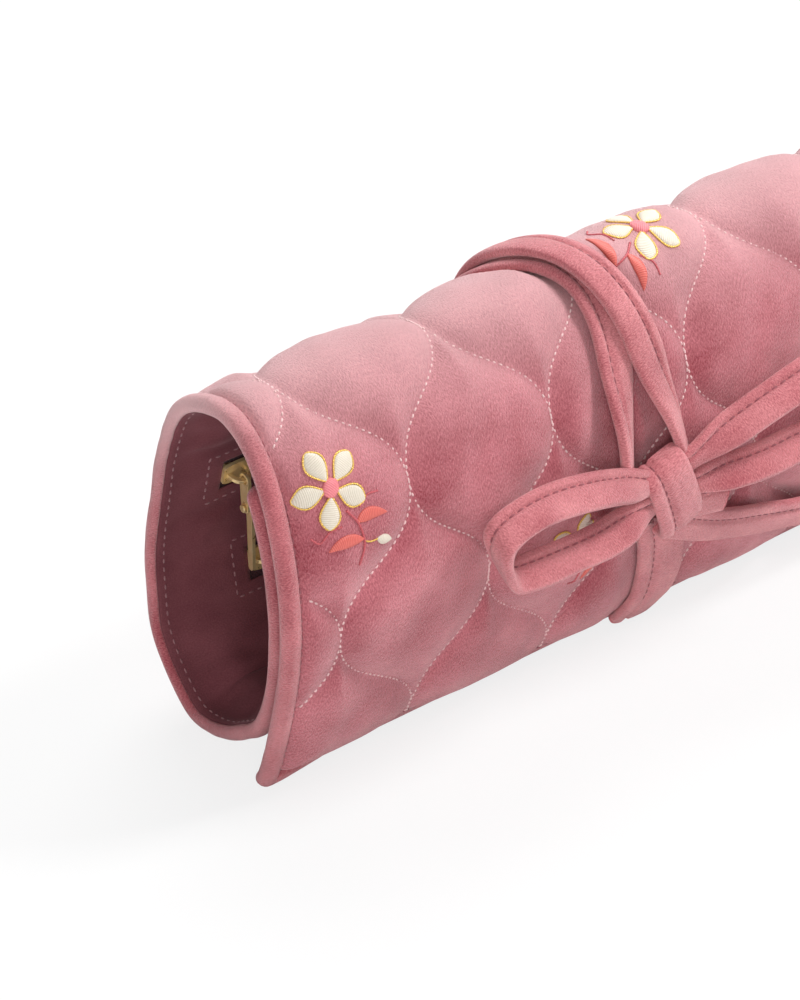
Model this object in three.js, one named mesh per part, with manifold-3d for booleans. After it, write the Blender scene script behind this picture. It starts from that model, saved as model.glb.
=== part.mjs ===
import * as THREE from "three";
import { mergeVertices } from "three/addons/utils/BufferGeometryUtils.js";
import Module from "manifold-3d";

// A quilted velvet jewelry roll, rolled up and tied with a velvet strap in a bow.
// Millimetres. X runs along the roll, the tied front faces -Y, and +Z is up.

const { clamp, degToRad, lerp, smoothstep } = THREE.MathUtils;

// The rolled section: an oval that leans forward, one and a quarter turns of sheet.
const rollLength = 210;
const frontHalfDepth = 29.6;
const backHalfDepth = 31.5;
const halfHeight = 53.5;
const restSink = 1.3;
const lean = degToRad(6);
const backPear = 0.1;
const turnPitch = 7;
const innerTurnExtra = 2.6;
const startAngle = degToRad(128);
const flapAngle = degToRad(552);
const pitchRampStart = degToRad(180);
const pitchRampEnd = degToRad(300);
const stationStep = degToRad(14.5);
const tailStep = 9;
const leastStation = 5;
const tailCurl = degToRad(7);
const undersideStart = degToRad(222);
const undersideEnd = degToRad(320);
const undersideRamp = degToRad(20);
const flapTipHeight = 0.8;

// The sheet's layers, measured outwards from the middle of the sheet.
const gap = 0.3;
const coverLevel = 2.4;
const coverThickness = 1;
const thinWadding = 1.1;
const thickWadding = 3.5;
const pocketThickness = 0.4;
const liningLevel = -3.2;
const liningThickness = 0.5;
const edgeSqueeze = 0.6;
const edgeRamp = 11;
const hemWidth = 6;

// The quilting: ogee cells whose stitched lines meet at narrow necks.
const cellPitch = 43.6;
const rowPitch = 69.5;
const neckFromFlap = 45;
const neckFromEnd = 15.5;
const neckReach = 0.92;
const lineFlatness = 1.35;
const leastColumn = 1.2;
const crownHeight = 3.4;
const crownShoulder = 0.86;
const hiddenCrown = 0.4;

// The velvet binding round all four edges.
const bindingWidth = 5;
const bindingThickness = 0.7;
const bindingRound = 0.5;

// The two zips on the inside of the back wall, with a pocket behind each.
const upperZipAngle = degToRad(370.7);
const lowerZipAngle = degToRad(333);
const zipHalfBand = 9;
const windowInset = 19;
const lowerWindowInset = 28;
const windowWidth = 10.4;
const tapeWidth = 8;
const tapeLevel = 2;
const tapeThickness = 0.4;
const zipCentreGap = 1.4;
const toothPitch = 3.4;
const toothReach = 0.9;
const toothSpine = 0.8;
const toothLevel = 1.9;
const toothThickness = 1.2;
const sliderLength = 9;
const sliderWidth = 6.8;
const plateThickness = 1;
const keelThickness = 0.5;
const webWidth = 0.8;
const webLength = 4;
const bridgeRise = 3.2;
const bridgeBar = 1.1;
const stopSize = 1.4;
const pocketReach = 78;

// The pull on each slider: a drop-shaped link, a rivet and a bar-shaped tab.
const linkLength = 8.5;
const linkTopRadius = 1.9;
const linkFootRadius = 1.5;
const linkThickness = 1;
const linkEye = 1.2;
const rivetRadius = 0.6;
const rivetHead = 1.1;
const rivetClearance = 0.25;
const rivetHeadThickness = 0.5;
const tabLength = 20;
const tabWidth = 2.4;
const tabThickness = 1;
const lowerPullSwing = degToRad(-46);

// The tie: a flat sewn strap that goes round the middle and ends in a bow at the front.
const strapWidth = 10;
const strapThickness = 3.2;
const frontStrapWidth = 13;
const crossStart = 104;
const crossEnd = 134;
const crossReach = 15.3;
const crossLag = 4.6;
const leftSettle = 16;
const rightSettle = 30;
const strapStartAngle = degToRad(262);
const strapShiftAngle = degToRad(285);
const frontFootX = 10;
const frontSway = 4.5;
const frontFoot = 2;
const knotX = 5.5;
const knotFromFlap = 56;
const knotWidth = 13;
const knotHeight = 22;
const knotDepth = 9;
const knotCover = 5;
const frontCover = 2;
const knotRound = 1.6;
const knotTurn = degToRad(16);
const loopHeight = 7.2;
const loopTilt = degToRad(30);
const leftLoop = { reach: 58.5, top: 18, foot: -3 };
const rightLoop = { reach: 63.5, top: 20.5, foot: 1 };
const longTailReach = 80.5;
const longTailDrop = 26;
const longTailStart = 42;
const shortTailReach = 18;
const shortTailStart = 52.2;
const tieFlatHalf = 14;
const tieFlatRamp = 8;
const tiedCrown = 0.22;

const halfLength = rollLength / 2;
const centreHeight = halfHeight - restSink;
const sheetInset = bindingThickness + gap;
const strapSpacing = strapWidth + 4 * gap;
const strapSeat = gap + crownHeight * tiedCrown;
const underRise = strapThickness + strapSeat + gap;

const velvet = { color: 0xbe6976, roughness: 0.95, metalness: 0 };
const strapVelvet = { color: 0xc8818a, roughness: 0.95, metalness: 0 };
const lining = { color: 0x6e4048, roughness: 0.9, metalness: 0 };
const wadding = { color: 0xe9e2dc, roughness: 1, metalness: 0 };
const tape = { color: 0x3c1419, roughness: 0.9, metalness: 0 };
const nylon = { color: 0x4a1c22, roughness: 0.5, metalness: 0 };
const gold = { color: 0xe6c88c, roughness: 0.25, metalness: 1 };

const wasm = await Module();
wasm.setup();
const roll = new THREE.Group();

function addPiece(name, geometry, finish, parent = roll) {
  const mesh = new THREE.Mesh(geometry, new THREE.MeshStandardMaterial(finish));
  mesh.name = name;
  parent.add(mesh);
  return mesh;
}

// A closed solid from loose triangles, turned so that its faces look outwards.
function solidFromTriangles(triangles) {
  let volume = 0;
  for (const [a, b, c] of triangles) volume += a.dot(new THREE.Vector3().crossVectors(b, c));
  const ordered = volume < 0 ? triangles.map(([a, b, c]) => [a, c, b]) : triangles;
  const points = ordered.flat();
  const geometry = mergeVertices(new THREE.BufferGeometry().setFromPoints(points), 1e-4);
  geometry.computeVertexNormals();
  return geometry;
}

function toManifold(geometry) {
  const bare = new THREE.BufferGeometry();
  bare.setAttribute("position", geometry.getAttribute("position"));
  bare.setIndex(geometry.index);
  const merged = mergeVertices(bare, 1e-4);
  return new wasm.Manifold(
    new wasm.Mesh({
      numProp: 3,
      vertProperties: merged.getAttribute("position").array,
      triVerts: new Uint32Array(merged.index.array),
    }),
  );
}

function fromManifold(solid) {
  const mesh = solid.getMesh();
  const geometry = new THREE.BufferGeometry();
  geometry.setAttribute("position", new THREE.BufferAttribute(mesh.vertProperties, mesh.numProp));
  geometry.setIndex(new THREE.BufferAttribute(mesh.triVerts, 1));
  geometry.computeVertexNormals();
  return geometry;
}

const joined = (geometries) => fromManifold(wasm.Manifold.union(geometries.map(toManifold)));
const cut = (geometry, tools) =>
  fromManifold(toManifold(geometry).subtract(wasm.Manifold.union(tools.map(toManifold))));

// A point of the sheet's middle line, for an angle that grows from the hidden inner end
// down the front, under, up the back, over the top and down the outer flap.
function ringPoint(angle) {
  const inward = turnPitch * (1 - smoothstep(angle, pitchRampStart, pitchRampEnd));
  const towardsBack = Math.cos(angle);
  const upwards = Math.sin(angle);
  const depth = (towardsBack > 0 ? backHalfDepth : frontHalfDepth) - inward;
  const pear = towardsBack > 0 ? 1 - backPear * upwards : 1;
  const point = new THREE.Vector2(depth * towardsBack * pear, (halfHeight - inward) * upwards);
  point.rotateAround(new THREE.Vector2(), lean);
  point.y = Math.max(point.y + centreHeight, coverLevel);
  return { angle, point };
}

// The middle line in small steps: the turns, then the flap's tail, which runs on
// almost straight until its tip is close to the table.
const line = [];
for (let angle = startAngle; angle < flapAngle; angle += degToRad(1)) line.push(ringPoint(angle));
const tailDirection = line.at(-1).point.clone().sub(line.at(-2).point).normalize();
const tailDrop = line.at(-1).point.y - flapTipHeight;
const tailSteps = Math.ceil(tailDrop);
for (let step = 1; step <= tailSteps; step += 1) {
  const heading = tailDirection.clone().rotateAround(new THREE.Vector2(), (tailCurl * step) / tailSteps);
  const from = line.at(-1).point;
  const point = from.clone().addScaledVector(heading, tailDrop / tailSteps / -heading.y);
  line.push({ angle: flapAngle, point });
}
line[0].arc = 0;
for (let i = 1; i < line.length; i += 1) {
  line[i].arc = line[i - 1].arc + line[i].point.distanceTo(line[i - 1].point);
}
const sheetLength = line.at(-1).arc;

function atArc(arc) {
  const next = clamp(line.findIndex((item) => item.arc >= arc), 1, line.length - 1);
  const a = line[next - 1];
  const b = line[next];
  const part = (arc - a.arc) / (b.arc - a.arc);
  const along = b.point.clone().sub(a.point).normalize();
  return {
    arc,
    angle: lerp(a.angle, b.angle, part),
    point: a.point.clone().lerp(b.point, part),
    outward: new THREE.Vector2(along.y, -along.x),
  };
}

const arcAtAngle = (angle) => line.find((item) => item.angle >= angle).arc;

// Stations where the sheet bends. Each zip lies on one flat stretch between two of them,
// and so does the stretch that rests on the table.
const upperZipArc = arcAtAngle(upperZipAngle);
const lowerZipArc = arcAtAngle(lowerZipAngle);
const zipEdges = [lowerZipArc, upperZipArc].flatMap((arc) => [arc - zipHalfBand, arc + zipHalfBand]);
const hemArcs = [0, sheetInset, hemWidth, hemWidth + edgeRamp];
const resting = line.filter((item) => item.point.y === coverLevel);
const restArcs = [resting[1].arc, resting.at(-1).arc];
const fixedArcs = [...hemArcs, ...restArcs, ...zipEdges, ...hemArcs.map((arc) => sheetLength - arc)];
const bendArcs = [];
for (let angle = startAngle; angle < flapAngle; angle += stationStep) bendArcs.push(arcAtAngle(angle));
for (let arc = arcAtAngle(flapAngle); arc < sheetLength; arc += tailStep) bendArcs.push(arc);
const flatStretches = [restArcs, zipEdges.slice(0, 2), zipEdges.slice(2)];
const clearOfFixed = (arc) =>
  fixedArcs.every((fixed) => Math.abs(arc - fixed) > leastStation) &&
  !flatStretches.some(([from, to]) => arc > from && arc < to);
const stationArcs = [...fixedArcs, ...bendArcs.filter(clearOfFixed)].sort((a, b) => a - b);
const stations = stationArcs.map(atArc);
const lastStation = stations.length - 1;

const placeAtArc = (arc) => {
  const next = clamp(stationArcs.findIndex((value) => value >= arc), 1, lastStation);
  return next - 1 + (arc - stationArcs[next - 1]) / (stationArcs[next] - stationArcs[next - 1]);
};

// How far the layers are pressed together near the hems, 1 away from them.
const hemShare = (distance) => clamp((distance - hemWidth) / edgeRamp, 0, 1);
const endShare = (x) => hemShare(halfLength - Math.abs(x));
const squeeze = (x, station) =>
  lerp(edgeSqueeze, 1, Math.min(endShare(x), hemShare(station.arc), hemShare(sheetLength - station.arc)));

// The inner turn moves in to make room for the flap, and between its ends the underside
// stands up from the table by the thickness of the straps that pass below it.
const innerTurn = (station) => 1 - smoothstep(station.angle, pitchRampStart, pitchRampEnd);
const underneath = (station) =>
  smoothstep(station.angle, undersideStart, undersideStart + undersideRamp) *
  (1 - smoothstep(station.angle, undersideEnd - undersideRamp, undersideEnd));
const rise = (x, station) => underRise * underneath(station) * endShare(x);
const innerShift = (x, station) =>
  innerTurnExtra * innerTurn(station) * endShare(x) * hemShare(station.arc);
const shift = (x, station) => -innerShift(x, station) - rise(x, station);

function stationPoint(x, index, offset, raise = 0) {
  const station = stations[index];
  const reach = offset * squeeze(x, station) + shift(x, station) + raise;
  const { point, outward } = station;
  return new THREE.Vector3(x, point.x + outward.x * reach, point.y + outward.y * reach);
}

// A point of the sheet at any place between stations, where it runs straight.
function sheetPoint(x, place, offset, raise = 0) {
  const index = clamp(Math.floor(place), 0, lastStation - 1);
  const a = stationPoint(x, index, offset, raise);
  return a.lerp(stationPoint(x, index + 1, offset, raise), place - index);
}

// Triangles of a band between two rows of points that both run along X.
function bandBetween(first, second) {
  const triangles = [];
  let i = 0;
  let k = 0;
  while (i < first.length - 1 || k < second.length - 1) {
    const stepFirst =
      k === second.length - 1 || (i < first.length - 1 && first[i + 1].x <= second[k + 1].x);
    if (stepFirst) {
      triangles.push([first[i], first[i + 1], second[k]]);
      i += 1;
    } else {
      triangles.push([second[k], first[i], second[k + 1]]);
      k += 1;
    }
  }
  return triangles;
}

// A closed sheet between an outer and an inner grid that share their rows.
function closedSheet(outer, inner) {
  const triangles = [];
  const reversed = ([a, b, c]) => [a, c, b];
  for (let row = 0; row < outer.length - 1; row += 1) {
    for (let column = 0; column < outer[row].length - 1; column += 1) {
      const [a, b] = outer[row].slice(column, column + 2);
      const [c, d] = outer[row + 1].slice(column, column + 2);
      triangles.push([a, c, b], [b, c, d]);
    }
    for (let column = 0; column < inner[row].length - 1; column += 1) {
      const [a, b] = inner[row].slice(column, column + 2);
      const [c, d] = inner[row + 1].slice(column, column + 2);
      triangles.push([a, b, c], [b, d, c]);
    }
    const [near, nearNext] = [outer[row][0], outer[row + 1][0]];
    const [below, belowNext] = [inner[row][0], inner[row + 1][0]];
    triangles.push([near, below, nearNext], [below, belowNext, nearNext]);
    const [far, farNext] = [outer[row].at(-1), outer[row + 1].at(-1)];
    const [under, underNext] = [inner[row].at(-1), inner[row + 1].at(-1)];
    triangles.push([far, farNext, under], [under, farNext, underNext]);
  }
  triangles.push(...bandBetween(outer[0], inner[0]));
  triangles.push(...bandBetween(outer.at(-1), inner.at(-1)).map(reversed));
  return solidFromTriangles(triangles);
}

// A solid through a row of closed rings that all share one flat outline.
function loft(rings, outline) {
  const caps = THREE.ShapeUtils.triangulateShape(outline, []);
  const triangles = [];
  const count = outline.length;
  for (let i = 0; i < rings.length - 1; i += 1) {
    for (let k = 0; k < count; k += 1) {
      const next = (k + 1) % count;
      triangles.push([rings[i][k], rings[i][next], rings[i + 1][k]]);
      triangles.push([rings[i][next], rings[i + 1][next], rings[i + 1][k]]);
    }
  }
  for (const [a, b, c] of caps) {
    triangles.push([rings[0][a], rings[0][c], rings[0][b]]);
    triangles.push([rings.at(-1)[a], rings.at(-1)[b], rings.at(-1)[c]]);
  }
  return solidFromTriangles(triangles);
}

// Plain layers of the sheet, between two levels, over a stretch of places.
const sheetEdge = halfLength - sheetInset;
const hemLine = halfLength - hemWidth;
const fullLine = hemLine - edgeRamp;
const columns = [-sheetEdge, -hemLine, -fullLine, fullLine, hemLine, sheetEdge];
const sheetPlaces = stations.map((station, index) => index).slice(1, -1);
const plainGrid = (xs, places, level) =>
  places.map((place) => xs.map((x) => sheetPoint(x, place, level(place))));

// Where the tie lies on the sheet: X of each run by the distance from the flap's edge. The two long
// runs lie side by side round the middle, and cross over to one side on their way to the back.
const runEnd = knotFromFlap + knotHeight / 2 - knotCover;
const frontTop = knotFromFlap - knotHeight / 2 + frontCover;
const underArc = arcAtAngle(strapShiftAngle);
function runX(side, fromFlap) {
  const settle = side < 0 ? leftSettle : rightSettle;
  const knotSide = side < 0 ? knotX - strapWidth : knotX + strapWidth * 0.65;
  const middleX = (side * strapSpacing) / 2;
  const frontX = lerp(knotSide, middleX, smoothstep(fromFlap, runEnd, runEnd + settle));
  const lag = side < 0 ? 0 : crossLag;
  const crossed = crossReach * smoothstep(fromFlap, crossStart + lag, crossEnd + lag);
  const underX = side * (strapSpacing / 2 + gap);
  const risen = smoothstep(sheetLength - fromFlap, underArc, sheetLength - crossEnd - lag);
  return lerp(underX, frontX - crossed, risen);
}
function frontRunX(fromFlap) {
  return frontFootX + (frontSway / 2) * (1 - Math.cos((1.5 * Math.PI * fromFlap) / frontTop));
}
function fromTie(x, station) {
  const fromFlap = sheetLength - station.arc;
  const runs = [];
  if (fromFlap > frontTop) runs.push(runX(-1, fromFlap), runX(1, fromFlap));
  if (fromFlap < runEnd) runs.push(frontRunX(fromFlap));
  return Math.min(...runs.map((run) => Math.abs(x - run)));
}

// The quilted cover. Its columns follow the stitched lines, and each cell swells between them.
const firstLineX = -halfLength + neckFromEnd - cellPitch / 4;
const lineCount = Math.floor((hemLine - firstLineX) / (cellPitch / 2)) + 1;
function lineX(number, station) {
  const turn = (2 * Math.PI * (sheetLength - station.arc - neckFromFlap)) / rowPitch;
  const wave = Math.cos(turn);
  const swing = (lineFlatness * wave) / Math.hypot(1, Math.sqrt(lineFlatness ** 2 - 1) * wave);
  const side = number % 2 === 0 ? 1 : -1;
  const x = firstLineX + (cellPitch / 2) * (number + (side * neckReach * swing) / 2);
  const nearLimit = -hemLine + leastColumn * (number + 1);
  const farLimit = hemLine - leastColumn * (lineCount - number);
  return clamp(x, nearLimit, farLimit);
}
function crown(x, width, station) {
  const tied = lerp(tiedCrown, 1, smoothstep(fromTie(x, station), tieFlatHalf, tieFlatHalf + tieFlatRamp));
  const fromTable = smoothstep(station.point.y, coverLevel, coverLevel + crownHeight * 4);
  const hidden = lerp(1, hiddenCrown, innerTurn(station));
  const fullness = smoothstep(width, 0, cellPitch * 0.75);
  const fromHem = (squeeze(x, station) - edgeSqueeze) / (1 - edgeSqueeze);
  return crownHeight * tied * fromTable * hidden * fullness * fromHem;
}
const crownColumns = [
  [0, 0],
  [0.25, crownShoulder],
  [0.5, 1],
  [0.75, crownShoulder],
];
const coverOuter = sheetPlaces.map((index) => {
  const station = stations[index];
  const seams = [-hemLine];
  for (let number = 0; number < lineCount; number += 1) seams.push(lineX(number, station));
  seams.push(hemLine);
  const row = [stationPoint(-sheetEdge, index, coverLevel)];
  for (let cell = 0; cell < seams.length - 1; cell += 1) {
    const [from, to] = [seams[cell], seams[cell + 1]];
    for (const [part, share] of crownColumns) {
      const x = lerp(from, to, part);
      row.push(stationPoint(x, index, coverLevel, share * crown(x, to - from, station)));
    }
  }
  row.push(stationPoint(hemLine, index, coverLevel), stationPoint(sheetEdge, index, coverLevel));
  return row;
});
const coverInner = plainGrid(columns, sheetPlaces, () => coverLevel - coverThickness);
addPiece("quilted_cover", closedSheet(coverOuter, coverInner), velvet);

// The wadding fills the sheet and is thinner where a pocket lies over it.
const waddingTop = coverLevel - coverThickness - gap;
const upperPocket = [upperZipArc - zipHalfBand, upperZipArc + pocketReach];
const lowerPocket = [lowerZipArc - pocketReach, lowerZipArc + zipHalfBand];
const pocketZone = [placeAtArc(lowerPocket[0]) - 1, placeAtArc(upperPocket[1]) + 1];
const waddingFloor = (place) =>
  waddingTop - (place > pocketZone[0] && place < pocketZone[1] ? thinWadding : thickWadding);
addPiece(
  "wadding_layer",
  closedSheet(
    plainGrid(columns, sheetPlaces, () => waddingTop),
    plainGrid(columns, sheetPlaces, waddingFloor),
  ),
  wadding,
);

// A zip's own frame: X along the roll, Y up the wall, Z into the hollow.
function zipGroup(arc) {
  const below = sheetPoint(0, placeAtArc(arc - zipHalfBand), 0);
  const above = sheetPoint(0, placeAtArc(arc + zipHalfBand), 0);
  const along = new THREE.Vector3(1, 0, 0);
  const up = above.clone().sub(below).normalize();
  const inward = new THREE.Vector3().crossVectors(along, up);
  const group = new THREE.Group();
  group.quaternion.setFromRotationMatrix(new THREE.Matrix4().makeBasis(along, up, inward));
  group.position.copy(below.add(above).multiplyScalar(0.5));
  roll.add(group);
  group.updateMatrixWorld(true);
  return group;
}
const upperZip = zipGroup(upperZipArc);
const lowerZip = zipGroup(lowerZipArc);

// The lining, with a window sewn open over each zip.
const upperWindow = rollLength - 2 * windowInset;
const lowerWindow = rollLength - 2 * lowerWindowInset;
function windowOpening(zip, length) {
  const opening = new THREE.BoxGeometry(length, windowWidth, Math.abs(liningLevel));
  return opening.translate(0, 0, Math.abs(liningLevel)).applyMatrix4(zip.matrixWorld);
}
const liningSheet = closedSheet(
  plainGrid(columns, sheetPlaces, () => liningLevel + liningThickness),
  plainGrid(columns, sheetPlaces, () => liningLevel),
);
const windows = [windowOpening(upperZip, upperWindow), windowOpening(lowerZip, lowerWindow)];
addPiece("lining_sheet", cut(liningSheet, windows), lining);

// One flat pocket panel behind each zip, between the lining and the wadding.
const pocketLevel = waddingTop - thinWadding - gap;
function pocketPanel([from, to]) {
  const ends = [placeAtArc(from), placeAtArc(to)];
  const between = sheetPlaces.filter((place) => place > ends[0] && place < ends[1]);
  const places = [ends[0], ...between, ends[1]];
  const xs = [gap - fullLine, fullLine - gap];
  return closedSheet(
    plainGrid(xs, places, () => pocketLevel),
    plainGrid(xs, places, () => pocketLevel - pocketThickness),
  );
}
const upperPanel = [upperPocket[0] + gap, upperPocket[1]];
addPiece("upper_pocket_panel", pocketPanel(upperPanel), lining);
addPiece("lower_pocket_panel", pocketPanel(lowerPocket), lining);

// Binding: a folded strip that wraps an edge, with an arm on the cover and an arm on the lining.
const armOuter = coverLevel;
const armOuterUnder = coverLevel - bindingThickness;
const armInner = liningLevel * edgeSqueeze - gap - bindingThickness;
const armInnerUnder = armInner + bindingThickness;
const bindingOutline = [
  [bindingWidth, armOuterUnder],
  [bindingWidth, armOuter],
  [bindingRound, armOuter],
  [0, armOuter - bindingRound],
  [0, armInner + bindingRound],
  [bindingRound, armInner],
  [bindingWidth, armInner],
  [bindingWidth, armInnerUnder],
  [bindingThickness, armInnerUnder],
  [bindingThickness, armOuterUnder],
].map(([depth, level]) => new THREE.Vector2(depth, level));
function endBinding(side) {
  const rings = stations.map((station, index) =>
    bindingOutline.map(({ x: depth, y: level }) =>
      stationPoint(side * (halfLength - depth), index, level / edgeSqueeze),
    ),
  );
  return loft(rings, bindingOutline);
}
function crossBinding(arcAtDepth) {
  const end = halfLength - bindingWidth - gap;
  const rings = [-end, -fullLine, fullLine, end].map((x) =>
    bindingOutline.map(({ x: depth, y: level }) =>
      sheetPoint(x, placeAtArc(arcAtDepth(depth)), level / edgeSqueeze),
    ),
  );
  return loft(rings, bindingOutline);
}
addPiece("near_end_binding", endBinding(-1), velvet);
addPiece("far_end_binding", endBinding(1), velvet);
addPiece("flap_edge_binding", crossBinding((depth) => sheetLength - depth), velvet);
addPiece("inner_edge_binding", crossBinding((depth) => depth), velvet);

// A zip: two tapes with rows of teeth, two stops, and a slider with its pull.
function extrudeUp(shape, from, thickness, curveSegments = 6) {
  const settings = { depth: thickness, bevelEnabled: false, curveSegments };
  return new THREE.ExtrudeGeometry(shape, settings).translate(0, 0, from);
}
const toothTip = zipCentreGap / 2;
const toothBack = toothTip + toothReach + toothSpine;
function toothRow(side, windowLength) {
  const chainLength = windowLength - 2 * (stopSize + 2 * gap);
  const tip = toothTip;
  const root = tip + toothReach;
  const back = toothBack;
  const count = Math.floor(chainLength / toothPitch - 0.5);
  const start = (-(count + 0.5) * toothPitch) / 2;
  const phase = side > 0 ? 0 : 0.5;
  const points = [new THREE.Vector2(start + phase * toothPitch, side * back)];
  for (let tooth = 0; tooth < count; tooth += 1) {
    const x = start + (tooth + phase) * toothPitch;
    points.push(new THREE.Vector2(x, side * root));
    points.push(new THREE.Vector2(x + toothPitch * 0.1, side * tip));
    points.push(new THREE.Vector2(x + toothPitch * 0.4, side * tip));
    points.push(new THREE.Vector2(x + toothPitch * 0.5, side * root));
  }
  points.push(new THREE.Vector2(start + (count + phase) * toothPitch, side * root));
  points.push(new THREE.Vector2(start + (count + phase) * toothPitch, side * back));
  return extrudeUp(new THREE.Shape(points), toothLevel, toothThickness);
}
function tapeStrip(side, windowLength) {
  const from = toothBack + gap;
  const strip = new THREE.BoxGeometry(windowLength, tapeWidth - from, tapeThickness);
  return strip.translate(0, (side * (from + tapeWidth)) / 2, tapeLevel + tapeThickness / 2);
}
const plateLevel = toothLevel + toothThickness + gap;
const keelLevel = tapeLevel - gap - keelThickness;
const barLevel = plateLevel + plateThickness + bridgeRise;
function sliderBody() {
  const half = sliderLength / 2;
  const wide = sliderWidth / 2;
  const outline = new THREE.Shape();
  outline.moveTo(-half, -wide * 0.6);
  outline.quadraticCurveTo(-half, -wide, 0, -wide);
  outline.quadraticCurveTo(half, -wide, half, -wide * 0.6);
  outline.lineTo(half, wide * 0.6);
  outline.quadraticCurveTo(half, wide, 0, wide);
  outline.quadraticCurveTo(-half, wide, -half, wide * 0.6);
  const plate = extrudeUp(outline, plateLevel, plateThickness);
  const keel = extrudeUp(outline, keelLevel, keelThickness);
  const overlap = 0.1;
  const webHeight = plateLevel - keelLevel - keelThickness + 2 * overlap;
  const web = new THREE.BoxGeometry(webLength, webWidth, webHeight);
  web.translate(0, 0, keelLevel + keelThickness - overlap + webHeight / 2);
  const foot = half - bridgeBar;
  const rise = barLevel - plateLevel + bridgeBar / 2;
  const arch = new THREE.Shape();
  arch.moveTo(-foot, 0);
  arch.quadraticCurveTo(-foot, rise, 0, rise);
  arch.quadraticCurveTo(foot, rise, foot, 0);
  arch.lineTo(foot - bridgeBar, 0);
  arch.quadraticCurveTo(foot - bridgeBar, rise - bridgeBar, 0, rise - bridgeBar);
  arch.quadraticCurveTo(-foot + bridgeBar, rise - bridgeBar, -foot + bridgeBar, 0);
  const bridge = extrudeUp(arch, -bridgeBar / 2, bridgeBar);
  bridge.rotateX(Math.PI / 2).translate(0, 0, plateLevel + overlap);
  return joined([plate, keel, web, bridge]);
}

// The pull hangs from the bridge: flat pieces drawn in the plane across the roll.
const acrossRoll = (geometry) => geometry.rotateX(Math.PI / 2).rotateZ(Math.PI / 2);
function roundHole(y, radius) {
  return new THREE.Path().absarc(0, y, radius, 0, 2 * Math.PI, true);
}
function linkPlate() {
  const shape = new THREE.Shape();
  shape.absarc(0, 0, linkTopRadius, 0, Math.PI, false);
  shape.absarc(0, -linkLength, linkFootRadius, Math.PI, 2 * Math.PI, false);
  shape.holes.push(roundHole(0, linkEye), roundHole(-linkLength, rivetRadius + rivetClearance));
  return acrossRoll(extrudeUp(shape, -linkThickness / 2, linkThickness));
}
function tabBar() {
  const half = tabWidth / 2;
  const shape = new THREE.Shape();
  shape.absarc(0, 0, half, 0, Math.PI, false);
  shape.lineTo(-half * 0.8, -tabLength + half);
  shape.quadraticCurveTo(-half * 0.8, -tabLength, 0, -tabLength);
  shape.quadraticCurveTo(half * 0.8, -tabLength, half * 0.8, -tabLength + half);
  shape.holes.push(roundHole(0, rivetRadius + rivetClearance));
  return acrossRoll(extrudeUp(shape, linkThickness / 2 + gap, tabThickness));
}
function rivetPin() {
  const near = -linkThickness / 2 - gap;
  const far = linkThickness / 2 + 2 * gap + tabThickness;
  const profile = [
    [0, near - rivetHeadThickness],
    [rivetHead, near - rivetHeadThickness],
    [rivetHead, near],
    [rivetRadius, near],
    [rivetRadius, far],
    [rivetHead, far],
    [rivetHead, far + rivetHeadThickness],
    [0, far + rivetHeadThickness],
  ].map(([radius, height]) => new THREE.Vector2(radius, height));
  return new THREE.LatheGeometry(profile, 16).rotateZ(-Math.PI / 2);
}
function addZip(prefix, zip, windowLength, swing) {
  addPiece(prefix + "_zip_tape_above", tapeStrip(1, windowLength), tape, zip);
  addPiece(prefix + "_zip_tape_below", tapeStrip(-1, windowLength), tape, zip);
  addPiece(prefix + "_zip_teeth_above", toothRow(1, windowLength), nylon, zip);
  addPiece(prefix + "_zip_teeth_below", toothRow(-1, windowLength), nylon, zip);
  const stopLevel = toothLevel + toothThickness / 2;
  for (const [name, side] of [["near", -1], ["far", 1]]) {
    const stop = new THREE.BoxGeometry(stopSize, 2 * toothBack, toothThickness);
    const reach = windowLength / 2 - gap - stopSize / 2;
    stop.translate(side * reach, 0, stopLevel);
    addPiece(prefix + "_zip_" + name + "_stop", stop, gold, zip);
  }
  const sliderX = -windowLength / 2 + sliderLength / 2;
  const body = addPiece(prefix + "_zip_slider", sliderBody(), gold, zip);
  body.position.x = sliderX;
  const hinge = new THREE.Group();
  hinge.position.copy(zip.localToWorld(new THREE.Vector3(sliderX, 0, barLevel)));
  hinge.rotation.x = swing;
  roll.add(hinge);
  addPiece(prefix + "_pull_link", linkPlate(), gold, hinge);
  const joint = new THREE.Group();
  joint.position.z = -linkLength;
  hinge.add(joint);
  addPiece(prefix + "_pull_rivet", rivetPin(), gold, joint);
  addPiece(prefix + "_pull_tab", tabBar(), gold, joint);
}
addZip("upper", upperZip, upperWindow, 0);
addZip("lower", lowerZip, lowerWindow, lowerPullSwing);

// A flat strap along a row of points, each with the direction of the strap's width.
const strapSection = (width, thickness) => {
  const half = width / 2;
  const thin = thickness / 2;
  const side = half - thin * 0.7;
  const points = [
    [-half, -thin * 0.3],
    [-side, -thin],
    [side, -thin],
    [half, -thin * 0.3],
    [half, thin * 0.3],
    [side, thin],
    [-side, thin],
    [-half, thin * 0.3],
  ];
  return points.map(([across, up]) => new THREE.Vector2(across, up));
};
function strap(points, widthAt, width = strapWidth, thickness = strapThickness) {
  const outline = strapSection(width, thickness);
  const rings = points.map((point, index) => {
    const before = points[Math.max(index - 1, 0)];
    const after = points[Math.min(index + 1, points.length - 1)];
    const along = after.clone().sub(before).normalize();
    const across = widthAt(index).clone();
    across.addScaledVector(along, -across.dot(along)).normalize();
    const up = new THREE.Vector3().crossVectors(across, along);
    return outline.map(({ x, y }) => point.clone().addScaledVector(across, x).addScaledVector(up, y));
  });
  return loft(rings, outline);
}
const outwardAt = (place) => {
  const from = sheetPoint(0, place, 0);
  return sheetPoint(0, place, coverLevel).sub(from).normalize();
};
const alongRoll = new THREE.Vector3(1, 0, 0);

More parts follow.
